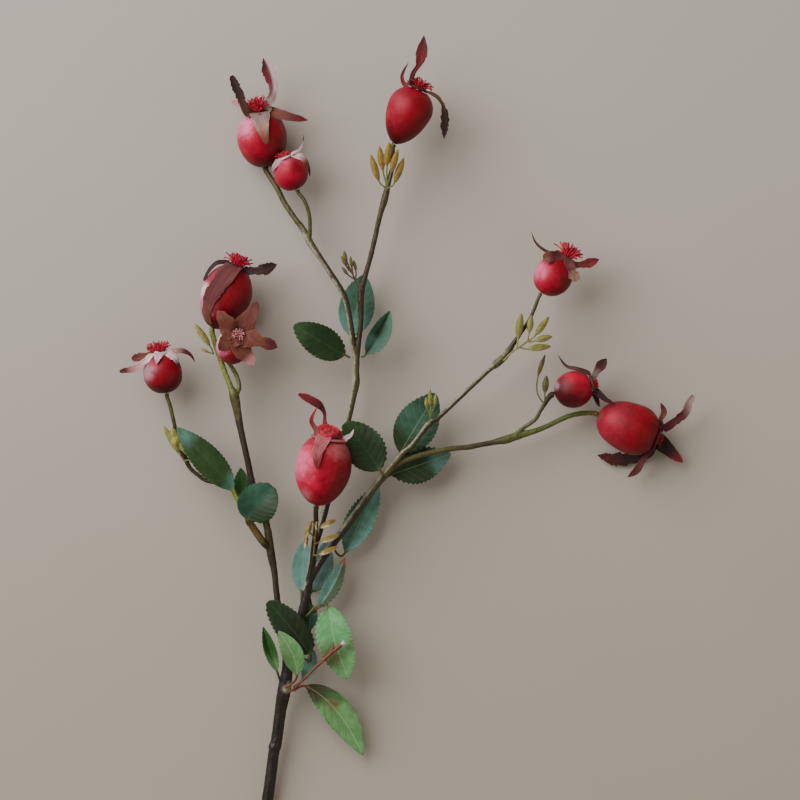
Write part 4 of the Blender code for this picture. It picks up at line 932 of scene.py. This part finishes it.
def sepal(key, disc, row, look, dice):
    """A thin, curled and torn sepal from inside the disc through its own points."""
    width, away, points = row
    outline, teeth, depth, curl, root_tint, middle_tint, tip_tint, *left_tint = look
    rows, side, face = sepal_line(key, disc, away, points)
    shares = np.linspace(0, 1, len(rows))
    places, sizes = zip(*OUTLINES[outline])
    half = width / 2 * MM * np.interp(shares, places, sizes)
    half[2:-2] = np.convolve(half, np.array([1, 2, 3, 2, 1]) / 9, "valid")
    right = half * (1 - depth * saw(shares, teeth, dice))
    left = half * (1 - depth * saw(shares, teeth, dice))
    turn = np.linspace(0, 2 * np.pi, SEPAL_SIDES, endpoint=False)
    across = np.cos(turn)
    reach = np.where(across > 0, right[:, None], left[:, None]) * across
    phase = dice.uniform(0, 6)
    wave = np.sin(shares * 9 + phase)[:, None] * SEPAL_WAVE * half[:, None] * across**3
    cup = curl * (0.3 + 0.7 * shares[:, None]) * half[:, None] * across**2
    groove = -GROOVE_DEPTH * np.exp(-((reach / GROOVE_WIDTH) ** 2))
    thick = SEPAL_THICKNESS / 2 * np.minimum(1, half[:, None] / MM) * np.sin(turn)
    lift = cup + wave + groove + thick
    rings = rows[:, None] + side * reach[..., None] + face * lift[..., None]
    rings[..., 2] = np.maximum(rings[..., 2], 0.1 * MM)
    stops = [(0.3, root_tint), (0.6, middle_tint), (0.85, tip_tint)]
    tint = np.repeat(between(stops, shares)[:, None], len(turn), axis=1)
    for name in left_tint:
        leftward = ramp(-across, -0.15, 0.25) * ramp(shares[:, None], 0.3, 0.5)
        tint = mixed(tint, linear(name), leftward)
    # Painted rim light: each sepal is lighter along its edges.
    edge = ramp(np.abs(across), 0.82, 1.0) * (shares[:, None] < 0.97)
    tint = tint * (1 + 0.315 * edge)[..., None]
    marks = np.stack([reach / MM, 0 * reach + shares[:, None], 0 * reach + phase], axis=-1)
    return skin(rings, tint, marks)


def make_calyx(key, surface, dice):
    """The disc on a hip's crown with its five dried sepals."""
    _, crown, axis, _, rim, _ = hip_parts(key)
    foot = crown + axis * GAP
    _, outward = circle(*crossways(foot, foot + axis), DISC_SIDES)
    rings = []
    for height, share in DISC_PROFILE:
        lumps = 1 + DISC_LUMPS * at_each(outward * 3 + height + int(key), noise.noise)
        rings.append(np.array(foot + axis * height * MM) + outward * rim * share * lumps[:, None])
    rings = np.array(rings)
    root_tint = SEPAL_LOOKS[key][0][4]
    skins = [skin(rings, 0 * rings + linear(root_tint), 0 * rings)]
    disc = foot + axis * DISC_HEIGHT / 2
    for row, look in zip(SEPALS[key], SEPAL_LOOKS[key]):
        skins.append(sepal(key, disc, row, look, dice))
    piece(f"calyx_{key}", "sepals", "calyx", surface, *gather(skins))


# Stamens


def make_stamens(key, surface, dice):
    """A tuft of bright red threads, each with a small knob at its end."""
    count, length, lean, spread = STAMENS[key]
    _, crown, axis, _, rim, _ = hip_parts(key)
    foot = crown + axis * (2 * GAP + DISC_HEIGHT * 0.7)
    side, face = crossways(foot, foot + axis)
    skins = []
    for index in range(count):
        around = index * GOLDEN_ANGLE + dice.uniform(-0.3, 0.3)
        place = math.sqrt((index + 0.5) / count)
        outward = side * math.cos(around) + face * math.sin(around)
        start = foot + outward * rim * spread * place
        angle = math.radians(lean * (place * dice.uniform(0.5, 1.1)))
        long = length * MM * dice.uniform(0.6, 1.05)
        bend = dice.uniform(-0.25, 0.35)
        points = []
        for step in np.linspace(0, 1, THREAD_STEPS):
            turned = angle * (0.5 + step * (0.5 + bend))
            heading = axis * math.cos(turned) + outward * math.sin(turned)
            points.append(start + heading * long * step)
        knob = dice.uniform(0.42, 0.62) * MM
        end = (points[-1] - points[-2]).normalized()
        points += [points[-1] + end * knob * 0.6, points[-1] + end * knob * 1.3]
        radii = [THREAD_RADIUS] * (THREAD_STEPS - 1) + [NECK_RADIUS, knob * 0.75, knob * 0.3]
        rows = np.column_stack([np.array(points), radii])
        rings = tube(rows, THREAD_SIDES, Vector((0.3, 0.5, 1)))
        tone = dice.uniform(0, 1)
        stops = [(0.7, "pollen"), (0.82, "anther" if tone < 0.5 else "pollen"), (1, "anther")]
        shares = np.linspace(0, 1, len(points))
        tint = np.repeat(between(stops, shares)[:, None], rings.shape[1], axis=1)
        tint = tint * (0.85 + 0.4 * tone)
        if key in STAMEN_TINTS:
            tint = mixed(tint, linear(STAMEN_TINTS[key]), 0.5)
        tint = mixed(tint, linear("bloom_and_highlight"), 0.3 * tone**2)
        skins.append(skin(rings, tint))
    piece(f"stamens_{key}", "threads", "stamens", surface, *gather(skins))


def make_cap(key, surface):
    """The fleshy, lumpy cap in the crown of the largest hip."""
    _, height, _, spread = STAMENS[key]
    _, crown, axis, _, rim, _ = hip_parts(key)
    foot = crown + axis * (2 * GAP + DISC_HEIGHT)
    _, outward = circle(*crossways(foot, foot + axis), CAP_SIDES)
    rings = []
    tints = []
    for rise in np.linspace(0, 0.99, CAP_RINGS):
        folds = at_each(
            outward * 2.2 + np.array([0, 0, rise * 2]), lambda way: noise.fractal(way, 0.8, 2.1, 3)
        )
        wide = math.sqrt(1 - rise**2.6) * rim * spread * (1 + CAP_FOLDS * folds)
        tall = rise * height * MM * (1 + 0.3 * folds)
        rings.append(np.array(foot) + outward * wide[:, None] + np.array(axis) * tall[:, None])
        # Painted shade: darker in the hollows between the folds, lighter on their ridges and towards the
        # top.
        tints.append(mixed(linear("wine"), linear("rose"), ramp(folds + 0.4 * rise, -0.3, 0.6)))
    cap = skin(np.array(rings), np.array(tints))
    piece(f"stamens_{key}", "cap", "stamens", surface, *cap)


# Leaves


def leaf_outline(share, pointedness):
    """Half of a leaflet's width over its widest, at shares of its length."""
    return np.maximum(0, np.sin(np.pi * np.clip(share, 0, 1) ** 0.85)) ** pointedness


def second_colour(where, share, across):
    """Where a leaf has its second colour, from 0 to 1."""
    if where == "tip":
        return ramp(share + 0.1 * across, 0.55, 1.0)
    if where == "root":
        return ramp(1 - share + 0.1 * across, 0.5, 0.95)
    if where == "ends":
        return ramp(np.abs(share - 0.5), 0.25, 0.5) + 0 * across
    if where == "left":
        return ramp(-across, 0.0, 0.25) + 0 * share
    # Along the fold, by the midrib: painted shade in the crease.
    return ramp(1 - np.abs(across - 0.1), 0.6, 0.95) + 0 * share


def leaf_tint(key, rings, share, across, under):
    """Colours of a leaflet: its two main ones, a paler underside, patches, its stalk and tip."""
    main, second, where = LEAF_TINTS[key]
    grain = at_each(rings, lambda place: noise.noise(place * LEAF_SCALE))
    tint = mixed(linear(main), linear(second), second_colour(where, share + 0.12 * grain, across))
    tint = mixed(tint, linear("sage"), 0.25 * under * (share > 0))
    tint = tint * (1 + 0.18 * grain)[..., None]
    tint = patched(tint, rings, grain, LEAF_PATCHES.get(key, []))
    tint = mixed(linear(STALK_TINTS.get(key, "khaki")), tint, ramp(share, 0.0, 0.06))
    if key in TIP_TINTS:
        tint = mixed(tint, linear(TIP_TINTS[key]), ramp(share, 0.8, 1.0))
    return tint


def make_leaf(key, surfaces, dice):
    """A leaflet on its stalk, with saw teeth, a midrib and side veins pressed into it."""
    width, fold, roll, stalk_points, kind, points = LEAVES[key]
    curve = smooth(route_in_metres(points))
    along = distances(curve)
    start = along[(stalk_points - 1) * CURVE_STEPS]
    length = along[-1] - start
    teeth = max(FEWEST_TEETH, round(length / TOOTH_SPACING))
    stalk = np.linspace(0, start, LEAF_STALK_RINGS, endpoint=False)
    blade = np.linspace(start, along[-1], teeth * ROWS_IN_A_TOOTH + 1)
    places = np.concatenate([stalk, blade])
    rows = stations(curve, places)
    share = np.clip((places - start) / length, 0, 1)[:, None]
    in_blade = (places >= start)[:, None]
    turned = []
    for tangent, side, face in frames([Vector(row) for row in rows], UP, level=True):
        turn = Quaternion(tangent, math.radians(roll))
        turned.append((tangent, turn @ side, turn @ face))
    tangent, side, face = (np.array([row[k] for row in turned])[:, None] for k in range(3))
    pointedness = POINTEDNESS.get(key, USUAL_POINTEDNESS)
    half = width / 2 * MM * leaf_outline(share, pointedness) * in_blade
    step = np.arange(len(places))[:, None] - len(stalk)
    envelope = np.minimum(1, half / LEAF_TAPER) * in_blade
    sides = []
    for shift in (0, ROWS_IN_A_TOOTH // 2):
        tooth = (step + shift) % ROWS_IN_A_TOOTH / ROWS_IN_A_TOOTH - 0.35
        tooth = tooth * TOOTH_SHARES.get(key, 1)
        thin = STALK_RADIUS * (1 - 0.85 * share)
        sides.append(np.maximum(half + TOOTH_DEPTH * tooth * envelope, thin))
    turn = np.linspace(0, 2 * np.pi, LEAF_SIDES, endpoint=False)
    across = np.sign(np.cos(turn)) * np.abs(np.cos(turn)) ** 0.8
    reach = np.where(across > 0, sides[0], sides[1]) * across
    phases = [dice.uniform(0, 6) for _ in range(4)]
    fold_angle = math.radians(fold) * np.minimum(1, half / MM)
    rise = np.sqrt(reach**2 + FOLD_RADIUS**2) - FOLD_RADIUS
    ripple = np.where(across > 0, np.sin(share * 8 + phases[0]), np.sin(share * 7 + phases[1]))
    ripple = ripple * across**2 * LEAF_RIPPLE * half
    vein = VEINS * share - 0.22 * VEINS * np.abs(across)
    quilt = np.cos(2 * np.pi * vein) * np.abs(across) * (1 - across**2)
    quilt = QUILT_DEPTH * quilt * envelope
    midrib = np.exp(-((reach / MIDRIB_WIDTH) ** 2)) * envelope
    under = np.sin(turn) < 0
    rib = np.where(under, -0.45, -0.14) * MM * midrib * (1 - 0.7 * share)
    thick = LEAF_THICKNESS / 2 + (STALK_RADIUS - LEAF_THICKNESS / 2) * (1 - ramp(share, 0, 0.12))
    body = thick * np.sin(turn) * np.minimum(1, sides[0] / thick)
    lift = np.sin(fold_angle) * rise + ripple - quilt + rib + body
    flat = np.cos(fold_angle) * reach
    lean = step % ROWS_IN_A_TOOTH / (ROWS_IN_A_TOOTH - 1) * envelope
    lean = TOOTH_SPACING / 4 * ramp(np.abs(across), 0.7, 1) * lean
    rings = rows[:, None] + side * flat[..., None] + face * lift[..., None]
    rings = rings + tangent * lean[..., None]
    rings[..., 2] = np.maximum(rings[..., 2], 0.2 * MM)
    tint = leaf_tint(key, rings, share, across, under)
    marks = np.stack([vein, reach / MM, 0 * reach + share], axis=-1)
    piece(f"leaf_{key}", "blade", f"leaf_{kind}", surfaces[kind], *skin(rings, tint, marks))


# Stem and buds


def rod_rows(points, step):
    """Rows of place and radius along a smooth route, at about the given step."""
    rows = smooth(points)
    length = distances(rows)[-1]
    return stations(rows, np.linspace(0, length, max(4, round(length / step))))


def bud_rows(width, points):
    """Rows of place and radius along a blunt bud on a thin stalk."""
    curve = smooth(route_in_metres(points))
    along = distances(curve)
    foot = along[(len(points) - 2) * CURVE_STEPS]
    body = foot + (along[-1] - foot) * (1 - np.cos(np.linspace(0, np.pi, BUD_RINGS))) / 2
    places = np.concatenate([np.linspace(0, foot, BUD_STALK_RINGS, endpoint=False), body])
    share = np.clip((places - foot) / (along[-1] - foot), 0, 1)
    wide = width / 2 * np.sin(np.pi * share**0.9).clip(0, 1) ** 0.62
    rows = np.column_stack([stations(curve, places), np.maximum(BUD_STALK_RADIUS, wide)])
    rows[-1, 3] = 0.1 * MM
    return rows


def melted(name, lines, sides, voxel, rounds, ridge=0):
    """Rods along lines of rows, melted into one smooth mesh, and the nearest row to each point."""
    points, faces = gather([skin(tube(rows, sides, ridge=ridge)) for rows in lines])
    mesh = bpy.data.meshes.new(name)
    mesh.from_pydata(points.tolist(), [], faces)
    item = bpy.data.objects.new(name, mesh)
    bpy.context.scene.collection.objects.link(item)
    remesh = item.modifiers.new("Melt", "REMESH")
    remesh.mode = "VOXEL"
    remesh.voxel_size = voxel
    soften = item.modifiers.new("Soften", "SMOOTH")
    soften.iterations = rounds
    bpy.context.view_layer.update()
    result = item.evaluated_get(bpy.context.evaluated_depsgraph_get()).to_mesh()
    points = np.zeros(len(result.vertices) * 3)
    result.vertices.foreach_get("co", points)
    normals = np.zeros(len(result.vertices) * 3)
    result.vertices.foreach_get("normal", normals)
    faces = [tuple(face.vertices) for face in result.polygons]
    bpy.data.objects.remove(item)
    bpy.data.meshes.remove(mesh)
    points = points.reshape(-1, 3)
    return points, normals.reshape(-1, 3), faces, nearest(points, np.vstack(lines))


def nearest(points, rows):
    """The index of the nearest row to each point, less its radius."""
    tree = KDTree(len(rows))
    for index, row in enumerate(rows):
        tree.insert(row[:3], index)
    tree.balance()
    found = np.zeros(len(points), int)
    for k, point in enumerate(points):
        near = tree.find_n(point, 3)
        best = min(near, key=lambda item: item[2] - rows[item[1]][3])
        found[k] = best[1]
    return found


def make_stem(surface):
    """Trunk, branches and twigs melted into one piece, with ridged and flaking bark, pale flaking laid as
    a painted highlight on the side towards the window light, and painted shade on the far side.
    """
    lines = []
    tints = []
    flaking_and_highlight_amounts = []
    for name, (key, points) in STEM_ROUTES.items():
        base, _, axis, _, _, stem_radius = hip_parts(key)
        near = [*(base - axis * 2.5 * MM), stem_radius]
        tip = [*(base - axis * GAP), stem_radius * 1.15]
        rows = rod_rows(np.vstack([route_in_metres(points), near, tip]), 1.2 * MM)
        lines.append(rows)
        shares = np.linspace(0, 1, len(rows))
        tints.append(between(BARK[name], shares))
        flaking_and_highlight_amounts.append(FLAKING_AND_HIGHLIGHT.get(name, USUAL_FLAKING_AND_HIGHLIGHT) * (1 - ramp(shares, 0.75, 1)))
    points, normals, faces, found = melted("stem", lines, ROD_SIDES, STEM_VOXEL, 2)
    rows = np.vstack(lines)
    ahead = (np.roll(rows[:, :3], -1, axis=0) - rows[:, :3])[found]
    along = np.sum(ahead * points, axis=1) / np.linalg.norm(ahead, axis=1)
    flow = points - unit(ahead) * along[:, None] * 0.85
    relief = at_each(flow, lambda place: noise.fractal(place * BARK_SCALE, 0.8, 2.2, 3))
    radius = rows[found][:, 3]
    points = points + normals * (relief * BARK_DEPTH * np.minimum(1, radius / (2 * MM)))[:, None]
    points[:, 2] = np.maximum(points[:, 2], 0)
    light = np.clip(facing(normals, -0.85, 0.2, 0.5), 0, 1)
    # Painted shade: darker on the side away from the window light, and darker where the relief sinks into
    # grooves, lighter on its ridges.
    dark = ramp(facing(normals, 0.9, -0.2, -0.1), 0.2, 1.0)
    tint = np.vstack(tints)[found] * (1 - 0.45 * dark)[:, None] * (1 + 0.35 * relief)[:, None]
    tint = patched(tint, points, 0.5 * relief, STEM_PATCHES)
    # The first mark: pale flaking with painted highlight, on the side towards the window light.
    marks = np.column_stack([light * np.concatenate(flaking_and_highlight_amounts)[found], relief, along * 1000])
    piece("stem", "bark", "stem", surface, points, faces, tint, marks)


def make_buds(key, surface):
    """A cluster of ridged buds on thin stalks, melted into one piece."""
    stalk, body, tip, pale = BUD_TINTS[key]
    lines = [bud_rows(width * MM, points) for width, points in BUDS[key]]
    points, normals, faces, found = melted("buds", lines, ROD_SIDES, BUD_VOXEL, 1, BUD_RIDGES)
    share = np.concatenate([np.linspace(0, 1, len(rows)) for rows in lines])[found]
    tint = between([(0.3, stalk), (0.5, body), (0.8, body), (1, tip)], share)
    patch = at_each(points, lambda place: noise.fractal(place * BUD_SCALE, 0.8, 2.1, 3))
    # Painted shade: browner on the side away from the window light.
    painted_brown_shade = ramp(facing(normals, 0.8, -0.3, 0.2) + 0.4 * patch, 0.2, 1.0)
    tint = mixed(tint, linear("ochre"), 0.5 * painted_brown_shade) * (1 + 0.25 * patch)[:, None]
    # Painted highlight: paler along the buds' lower edges.
    lower_edge_highlight = ramp(facing(normals, -0.1, -0.9, 0.3) + 0.12 * patch, 0.45, 0.75)
    tint = mixed(tint, linear("cream"), pale * lower_edge_highlight * ramp(share, 0.35, 0.5))
    piece(f"buds_{key}", "cluster", "buds", surface, points, faces, tint)


def make_leaf_stalk(surface):
    """The bare reddish leaf stalk with its thorn and its pale cut end."""
    lines = [rod_rows(route_in_metres(points), 0.8 * MM) for points in (LEAF_STALK, THORN)]
    points, _, faces, found = melted("leaf stalk", lines, LEAF_STALK_SIDES, BUD_VOXEL, 1)
    tints = []
    for rows, end in zip(lines, ("shell", "rust")):
        tints.append(between([(0.94, "brick"), (0.97, end)], np.linspace(0, 1, len(rows))))
    relief = at_each(points, lambda place: noise.fractal(place * BARK_SCALE, 0.8, 2.2, 3))
    tint = np.vstack(tints)[found] * (1 + 0.3 * relief)[:, None]
    marks = np.column_stack([0.1 + 0 * relief, relief, 0 * relief])
    piece("leaf_stalk", "bark", "leaf_stalk", surface, points, faces, tint, marks)


# Surfaces


class Surface:
    """A material whose nodes are added one by one."""

    def __init__(self, name):
        self.material = bpy.data.materials.new(name)
        self.material.use_nodes = True
        self.tree = self.material.node_tree
        self.shader = self.tree.nodes["Principled BSDF"]
        self.shader.inputs["Metallic"].default_value = 0

    def node(self, kind, inputs, **settings):
        """A node with its settings and its inputs, either values or other nodes' outputs."""
        node = self.tree.nodes.new("ShaderNode" + kind)
        for name, value in settings.items():
            setattr(node, name, value)
        for name, value in inputs.items():
            if isinstance(value, bpy.types.NodeSocket):
                self.tree.links.new(value, node.inputs[name])
            else:
                node.inputs[name].default_value = value
        return node

    def tint(self):
        """The colour given to each point."""
        return self.node("Attribute", {}, attribute_name="tint").outputs["Color"]

    def marks(self):
        """The three numbers given to each point."""
        node = self.node("Attribute", {}, attribute_name="marks")
        return self.node("SeparateXYZ", {0: node.outputs["Vector"]}).outputs

    def place(self):
        """The place on the object itself."""
        return self.node("TexCoord", {}).outputs["Object"]

    def grain(self, size, detail=4):
        """Noise with features of the given size in millimetres."""
        inputs = {"Vector": self.place(), "Scale": 1 / (size * MM), "Detail": detail, "Roughness": 0.55}
        return self.node("TexNoise", inputs).outputs["Fac"]

    def math(self, operation, first, second=0.0):
        """One step of arithmetic."""
        return self.node("Math", {0: first, 1: second}, operation=operation).outputs[0]

    def add(self, first, second):
        """The sum of two values."""
        return self.math("ADD", first, second)

    def times(self, first, second):
        """The product of two values."""
        return self.math("MULTIPLY", first, second)

    def spread(self, value, low, high, to_low=0.0, to_high=1.0):
        """A value's range spread over another range."""
        inputs = {"Value": value, "From Min": low, "From Max": high, "To Min": to_low, "To Max": to_high}
        return self.node("MapRange", inputs, interpolation_type="SMOOTHSTEP").outputs["Result"]

    def mix(self, amount, first, second, blend="MIX"):
        """Two colours mixed."""
        node = self.node("Mix", {0: amount, 6: first, 7: second}, data_type="RGBA", blend_type=blend)
        return node.outputs[2]

    def mottled(self, value, low, high, dark):
        """The tint, times a dark colour where the value is low."""
        tint = self.tint()
        darker = self.mix(1.0, tint, (*dark, 1), "MULTIPLY")
        return self.mix(self.spread(value, low, high), darker, tint)

    def bump(self, height, distance, strength, below=None):
        """Fine relief of a distance in millimetres."""
        inputs = {"Height": height, "Distance": distance * MM, "Strength": strength}
        if below:
            inputs["Normal"] = below
        return self.node("Bump", inputs).outputs["Normal"]

    def finish(self, colour, roughness, normal, **constants):
        """Links the colour, roughness and relief, and sets the shader's other values."""
        self.tree.links.new(colour, self.shader.inputs["Base Color"])
        self.tree.links.new(roughness, self.shader.inputs["Roughness"])
        self.tree.links.new(normal, self.shader.inputs["Normal"])
        for name, value in constants.items():
            self.shader.inputs[name.replace("_", " ")].default_value = value
        return self.material


def rgba(name, share=1.0):
    """A named colour for a shader's socket."""
    return (*(linear(name) * share), 1)


def hip_surface():
    """Waxy skin: deep red, mottled, with tiny pale dots, a few more of them where the painted highlight
    lies on the side towards the window light.
    """
    surface = Surface("hip skin")
    # The first mark is the pale bloom with its painted highlight, on the side towards the window light.
    wax_and_highlight = surface.marks()[0]
    broad = surface.grain(5)
    fine = surface.grain(0.7)
    colour = surface.mottled(broad, 0.3, 0.7, (0.72, 0.6, 0.65))
    dots = surface.spread(surface.add(fine, surface.times(wax_and_highlight, 0.12)), 0.62, 0.74)
    colour = surface.mix(surface.times(dots, 0.12), colour, rgba("bloom_and_highlight"))
    rough = surface.spread(surface.add(wax_and_highlight, surface.times(broad, 0.3)), 0, 1.2, 0.46, 0.6)
    normal = surface.bump(fine, 0.05, 0.5, surface.bump(surface.grain(2.5), 0.12, 0.5))
    return surface.finish(colour, rough, normal, Specular_IOR_Level=0.25)


def sepal_surface():
    """Dried sepal: fibres along its length, mottled, with a papery sheen."""
    surface = Surface("dried sepal")
    across, along, phase = surface.marks()
    stretched = {0: surface.times(across, 2.2), 1: surface.times(along, 3.0), 2: phase}
    place = surface.node("CombineXYZ", stretched).outputs[0]
    fibres = surface.node("TexNoise", {"Vector": place, "Scale": 1.6, "Detail": 3.0}).outputs["Fac"]
    broad = surface.grain(2.2)
    colour = surface.mottled(fibres, 0.35, 0.65, (0.62, 0.55, 0.55))
    colour = surface.mix(surface.spread(broad, 0.55, 0.8, 0, 0.07), colour, rgba("lilac"))
    rough = surface.spread(broad, 0.2, 0.8, 0.5, 0.85)
    normal = surface.bump(fibres, 0.15, 0.8, surface.bump(surface.grain(0.6), 0.05, 0.6))
    return surface.finish(
        colour, rough, normal, Sheen_Weight=0.04, Sheen_Roughness=0.5, Specular_IOR_Level=0.22
    )


def stamen_surface():
    """Bright red threads with darker knobs."""
    surface = Surface("stamens")
    fine = surface.grain(0.5)
    colour = surface.mottled(fine, 0.35, 0.65, (0.6, 0.5, 0.5))
    rough = surface.spread(fine, 0.2, 0.8, 0.45, 0.7)
    return surface.finish(colour, rough, surface.bump(fine, 0.05, 0.5), Specular_IOR_Level=0.4)


def leaf_surface(name, vein_colour, vein_strength, roughness):
    """A leaf's skin: pale veins pressed in, small cells and a soft gloss."""
    surface = Surface(name)
    vein, across, along = surface.marks()
    to_vein = surface.math("ABSOLUTE", surface.math("SUBTRACT", surface.math("FRACT", vein), 0.5))
    rib = surface.spread(surface.math("ABSOLUTE", across), 0.1, 0.38, 1, 0)
    in_blade = surface.times(surface.spread(along, 0, 0.04), surface.spread(along, 0.9, 1, 1, 0))
    side_vein = surface.times(surface.spread(to_vein, 0.44, 0.5), in_blade)
    rib = surface.times(rib, in_blade)
    cells = surface.node(
        "TexVoronoi",
        {"Vector": surface.place(), "Scale": 1 / (0.8 * MM)},
        feature="DISTANCE_TO_EDGE",
    ).outputs["Distance"]
    broad = surface.grain(4)
    colour = surface.mottled(broad, 0.3, 0.7, (0.68, 0.72, 0.66))
    net = surface.spread(cells, 0, 0.12, 0.18, 0)
    for lines, strength in ((net, 1), (side_vein, 0.45), (rib, 0.85)):
        colour = surface.mix(surface.times(lines, strength * vein_strength), colour, vein_colour)
    rough = surface.spread(broad, 0.2, 0.8, roughness - 0.06, roughness + 0.1)
    raised = surface.math("SUBTRACT", surface.spread(cells, 0, 0.3), side_vein)
    normal = surface.bump(raised, 0.06, 0.6, surface.bump(surface.grain(1.5), 0.08, 0.5))
    return surface.finish(colour, rough, normal, Specular_IOR_Level=0.3)


def bark_surface(name, roughness):
    """Bark: streaks along the stem, pale flaking patches that the first mark spreads as a painted
    highlight over the side towards the window light, and small dark pits.
    """
    surface = Surface(name)
    flaking_and_highlight = surface.marks()[0]
    fine = surface.grain(0.9)
    broad = surface.grain(3.5)
    colour = surface.mottled(fine, 0.35, 0.6, (0.5, 0.48, 0.45))
    # Pale flaking, partly painted highlight where the first mark is high.
    cover = surface.add(surface.times(flaking_and_highlight, 0.75), surface.times(broad, 0.5))
    cover = surface.add(cover, surface.times(fine, 0.35))
    colour = surface.mix(surface.spread(cover, 0.74, 0.96, 0, 0.6), colour, rgba("pale_flake_and_highlight"))
    rough = surface.spread(fine, 0.2, 0.8, roughness - 0.1, roughness + 0.15)
    normal = surface.bump(fine, 0.12, 0.7, surface.bump(surface.grain(0.35), 0.04, 0.6))
    return surface.finish(colour, rough, normal, Specular_IOR_Level=0.4)


def bud_surface():
    """Fleshy bud skin with a faint down."""
    surface = Surface("bud skin")
    fine = surface.grain(0.6)
    colour = surface.mottled(surface.grain(2), 0.3, 0.65, (0.7, 0.62, 0.5))
    rough = surface.spread(fine, 0.2, 0.8, 0.4, 0.65)
    normal = surface.bump(fine, 0.06, 0.6)
    return surface.finish(colour, rough, normal, Sheen_Weight=0.15, Specular_IOR_Level=0.45)


# Studio


def make_floor():
    """A plain pale floor with a painted fall-off of light, a little darker and warmer towards the cut
    end, with faint mottling.
    """
    surface = Surface("floor")
    cloud = surface.grain(120, 2)
    _, along, _ = surface.node("SeparateXYZ", {0: surface.place()}).outputs
    # Painted fall-off of light: darker and warmer towards the cut end.
    colour = surface.mix(surface.spread(along, -0.2, 0.22), FLOOR_AT_CUT_END, FLOOR_AT_TOP)
    colour = surface.mix(surface.spread(cloud, 0, 1, 0, 0.15), colour, FLOOR_CLOUD)
    rough = surface.spread(cloud, 0.2, 0.8, 0.85, 0.95)
    material = surface.finish(colour, rough, surface.bump(surface.grain(0.8), 0.02, 0.2))
    mesh = bpy.data.meshes.new("floor")
    corners = [(-1, -1), (1, -1), (1, 1), (-1, 1)]
    points = [(x * FLOOR_REACH, y * FLOOR_REACH, -FLOOR_DEPTH) for x, y in corners]
    mesh.from_pydata(points, [], [(0, 1, 2, 3)])
    mesh.materials.append(material)
    floor = bpy.data.objects.new("floor", mesh)
    bpy.context.scene.collection.objects.link(floor)


def make_studio():
    """A large soft light from the left, a weak one from the right, and an even sky."""
    for name, place, power, colour in LIGHTS:
        light = bpy.data.lights.new(name, "AREA")
        light.shape = "DISK"
        light.size = LIGHT_SIZE
        light.energy = power
        light.color = colour
        item = bpy.data.objects.new(name, light)
        item.location = place
        item.rotation_mode = "QUATERNION"
        item.rotation_quaternion = (-Vector(place)).to_track_quat("-Z", "Y")
        bpy.context.scene.collection.objects.link(item)
    world = bpy.data.worlds.new("sky")
    world.use_nodes = True
    sky = world.node_tree.nodes["Background"]
    sky.inputs["Color"].default_value = SKY_COLOUR
    sky.inputs["Strength"].default_value = SKY_STRENGTH
    bpy.context.scene.world = world


def make_camera():
    """Straight above the table, framed as the photo."""
    camera = bpy.data.cameras.new("camera")
    camera.sensor_width = SENSOR_WIDTH
    seen = PHOTO_SIDE * PIXEL
    camera.lens = camera.sensor_width * (CAMERA_HEIGHT - FRAMED_HEIGHT) / seen
    item = bpy.data.objects.new("camera", camera)
    item.location = (seen / 2 - MIDDLE[0], seen / 2 - MIDDLE[1], CAMERA_HEIGHT)
    bpy.context.scene.collection.objects.link(item)
    bpy.context.scene.camera = item


def main():
    """Build every piece, the studio and the camera."""
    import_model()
    dice = random.Random(SEED)
    hips = hip_surface()
    sepals = sepal_surface()
    threads = stamen_surface()
    leaves = {
        "dark": leaf_surface("dark leaf", rgba("fern"), 0.5, 0.45),
        "blue": leaf_surface("blue leaf", rgba("vein", 0.8), 0.27, 0.48),
        "light": leaf_surface("light leaf", rgba("vein"), 0.35, 0.5),
    }
    make_stem(bark_surface("bark", 0.42))
    for key in HIPS:
        make_hip(key, hips)
        make_calyx(key, sepals, dice)
        if STAMENS[key][0]:
            make_stamens(key, threads, dice)
        else:
            make_cap(key, threads)
    for key in LEAVES:
        make_leaf(key, leaves, dice)
    buds = bud_surface()
    for key in BUDS:
        make_buds(key, buds)
    make_leaf_stalk(bark_surface("leaf stalk", 0.45))
    make_floor()
    make_studio()
    make_camera()
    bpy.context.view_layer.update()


main()
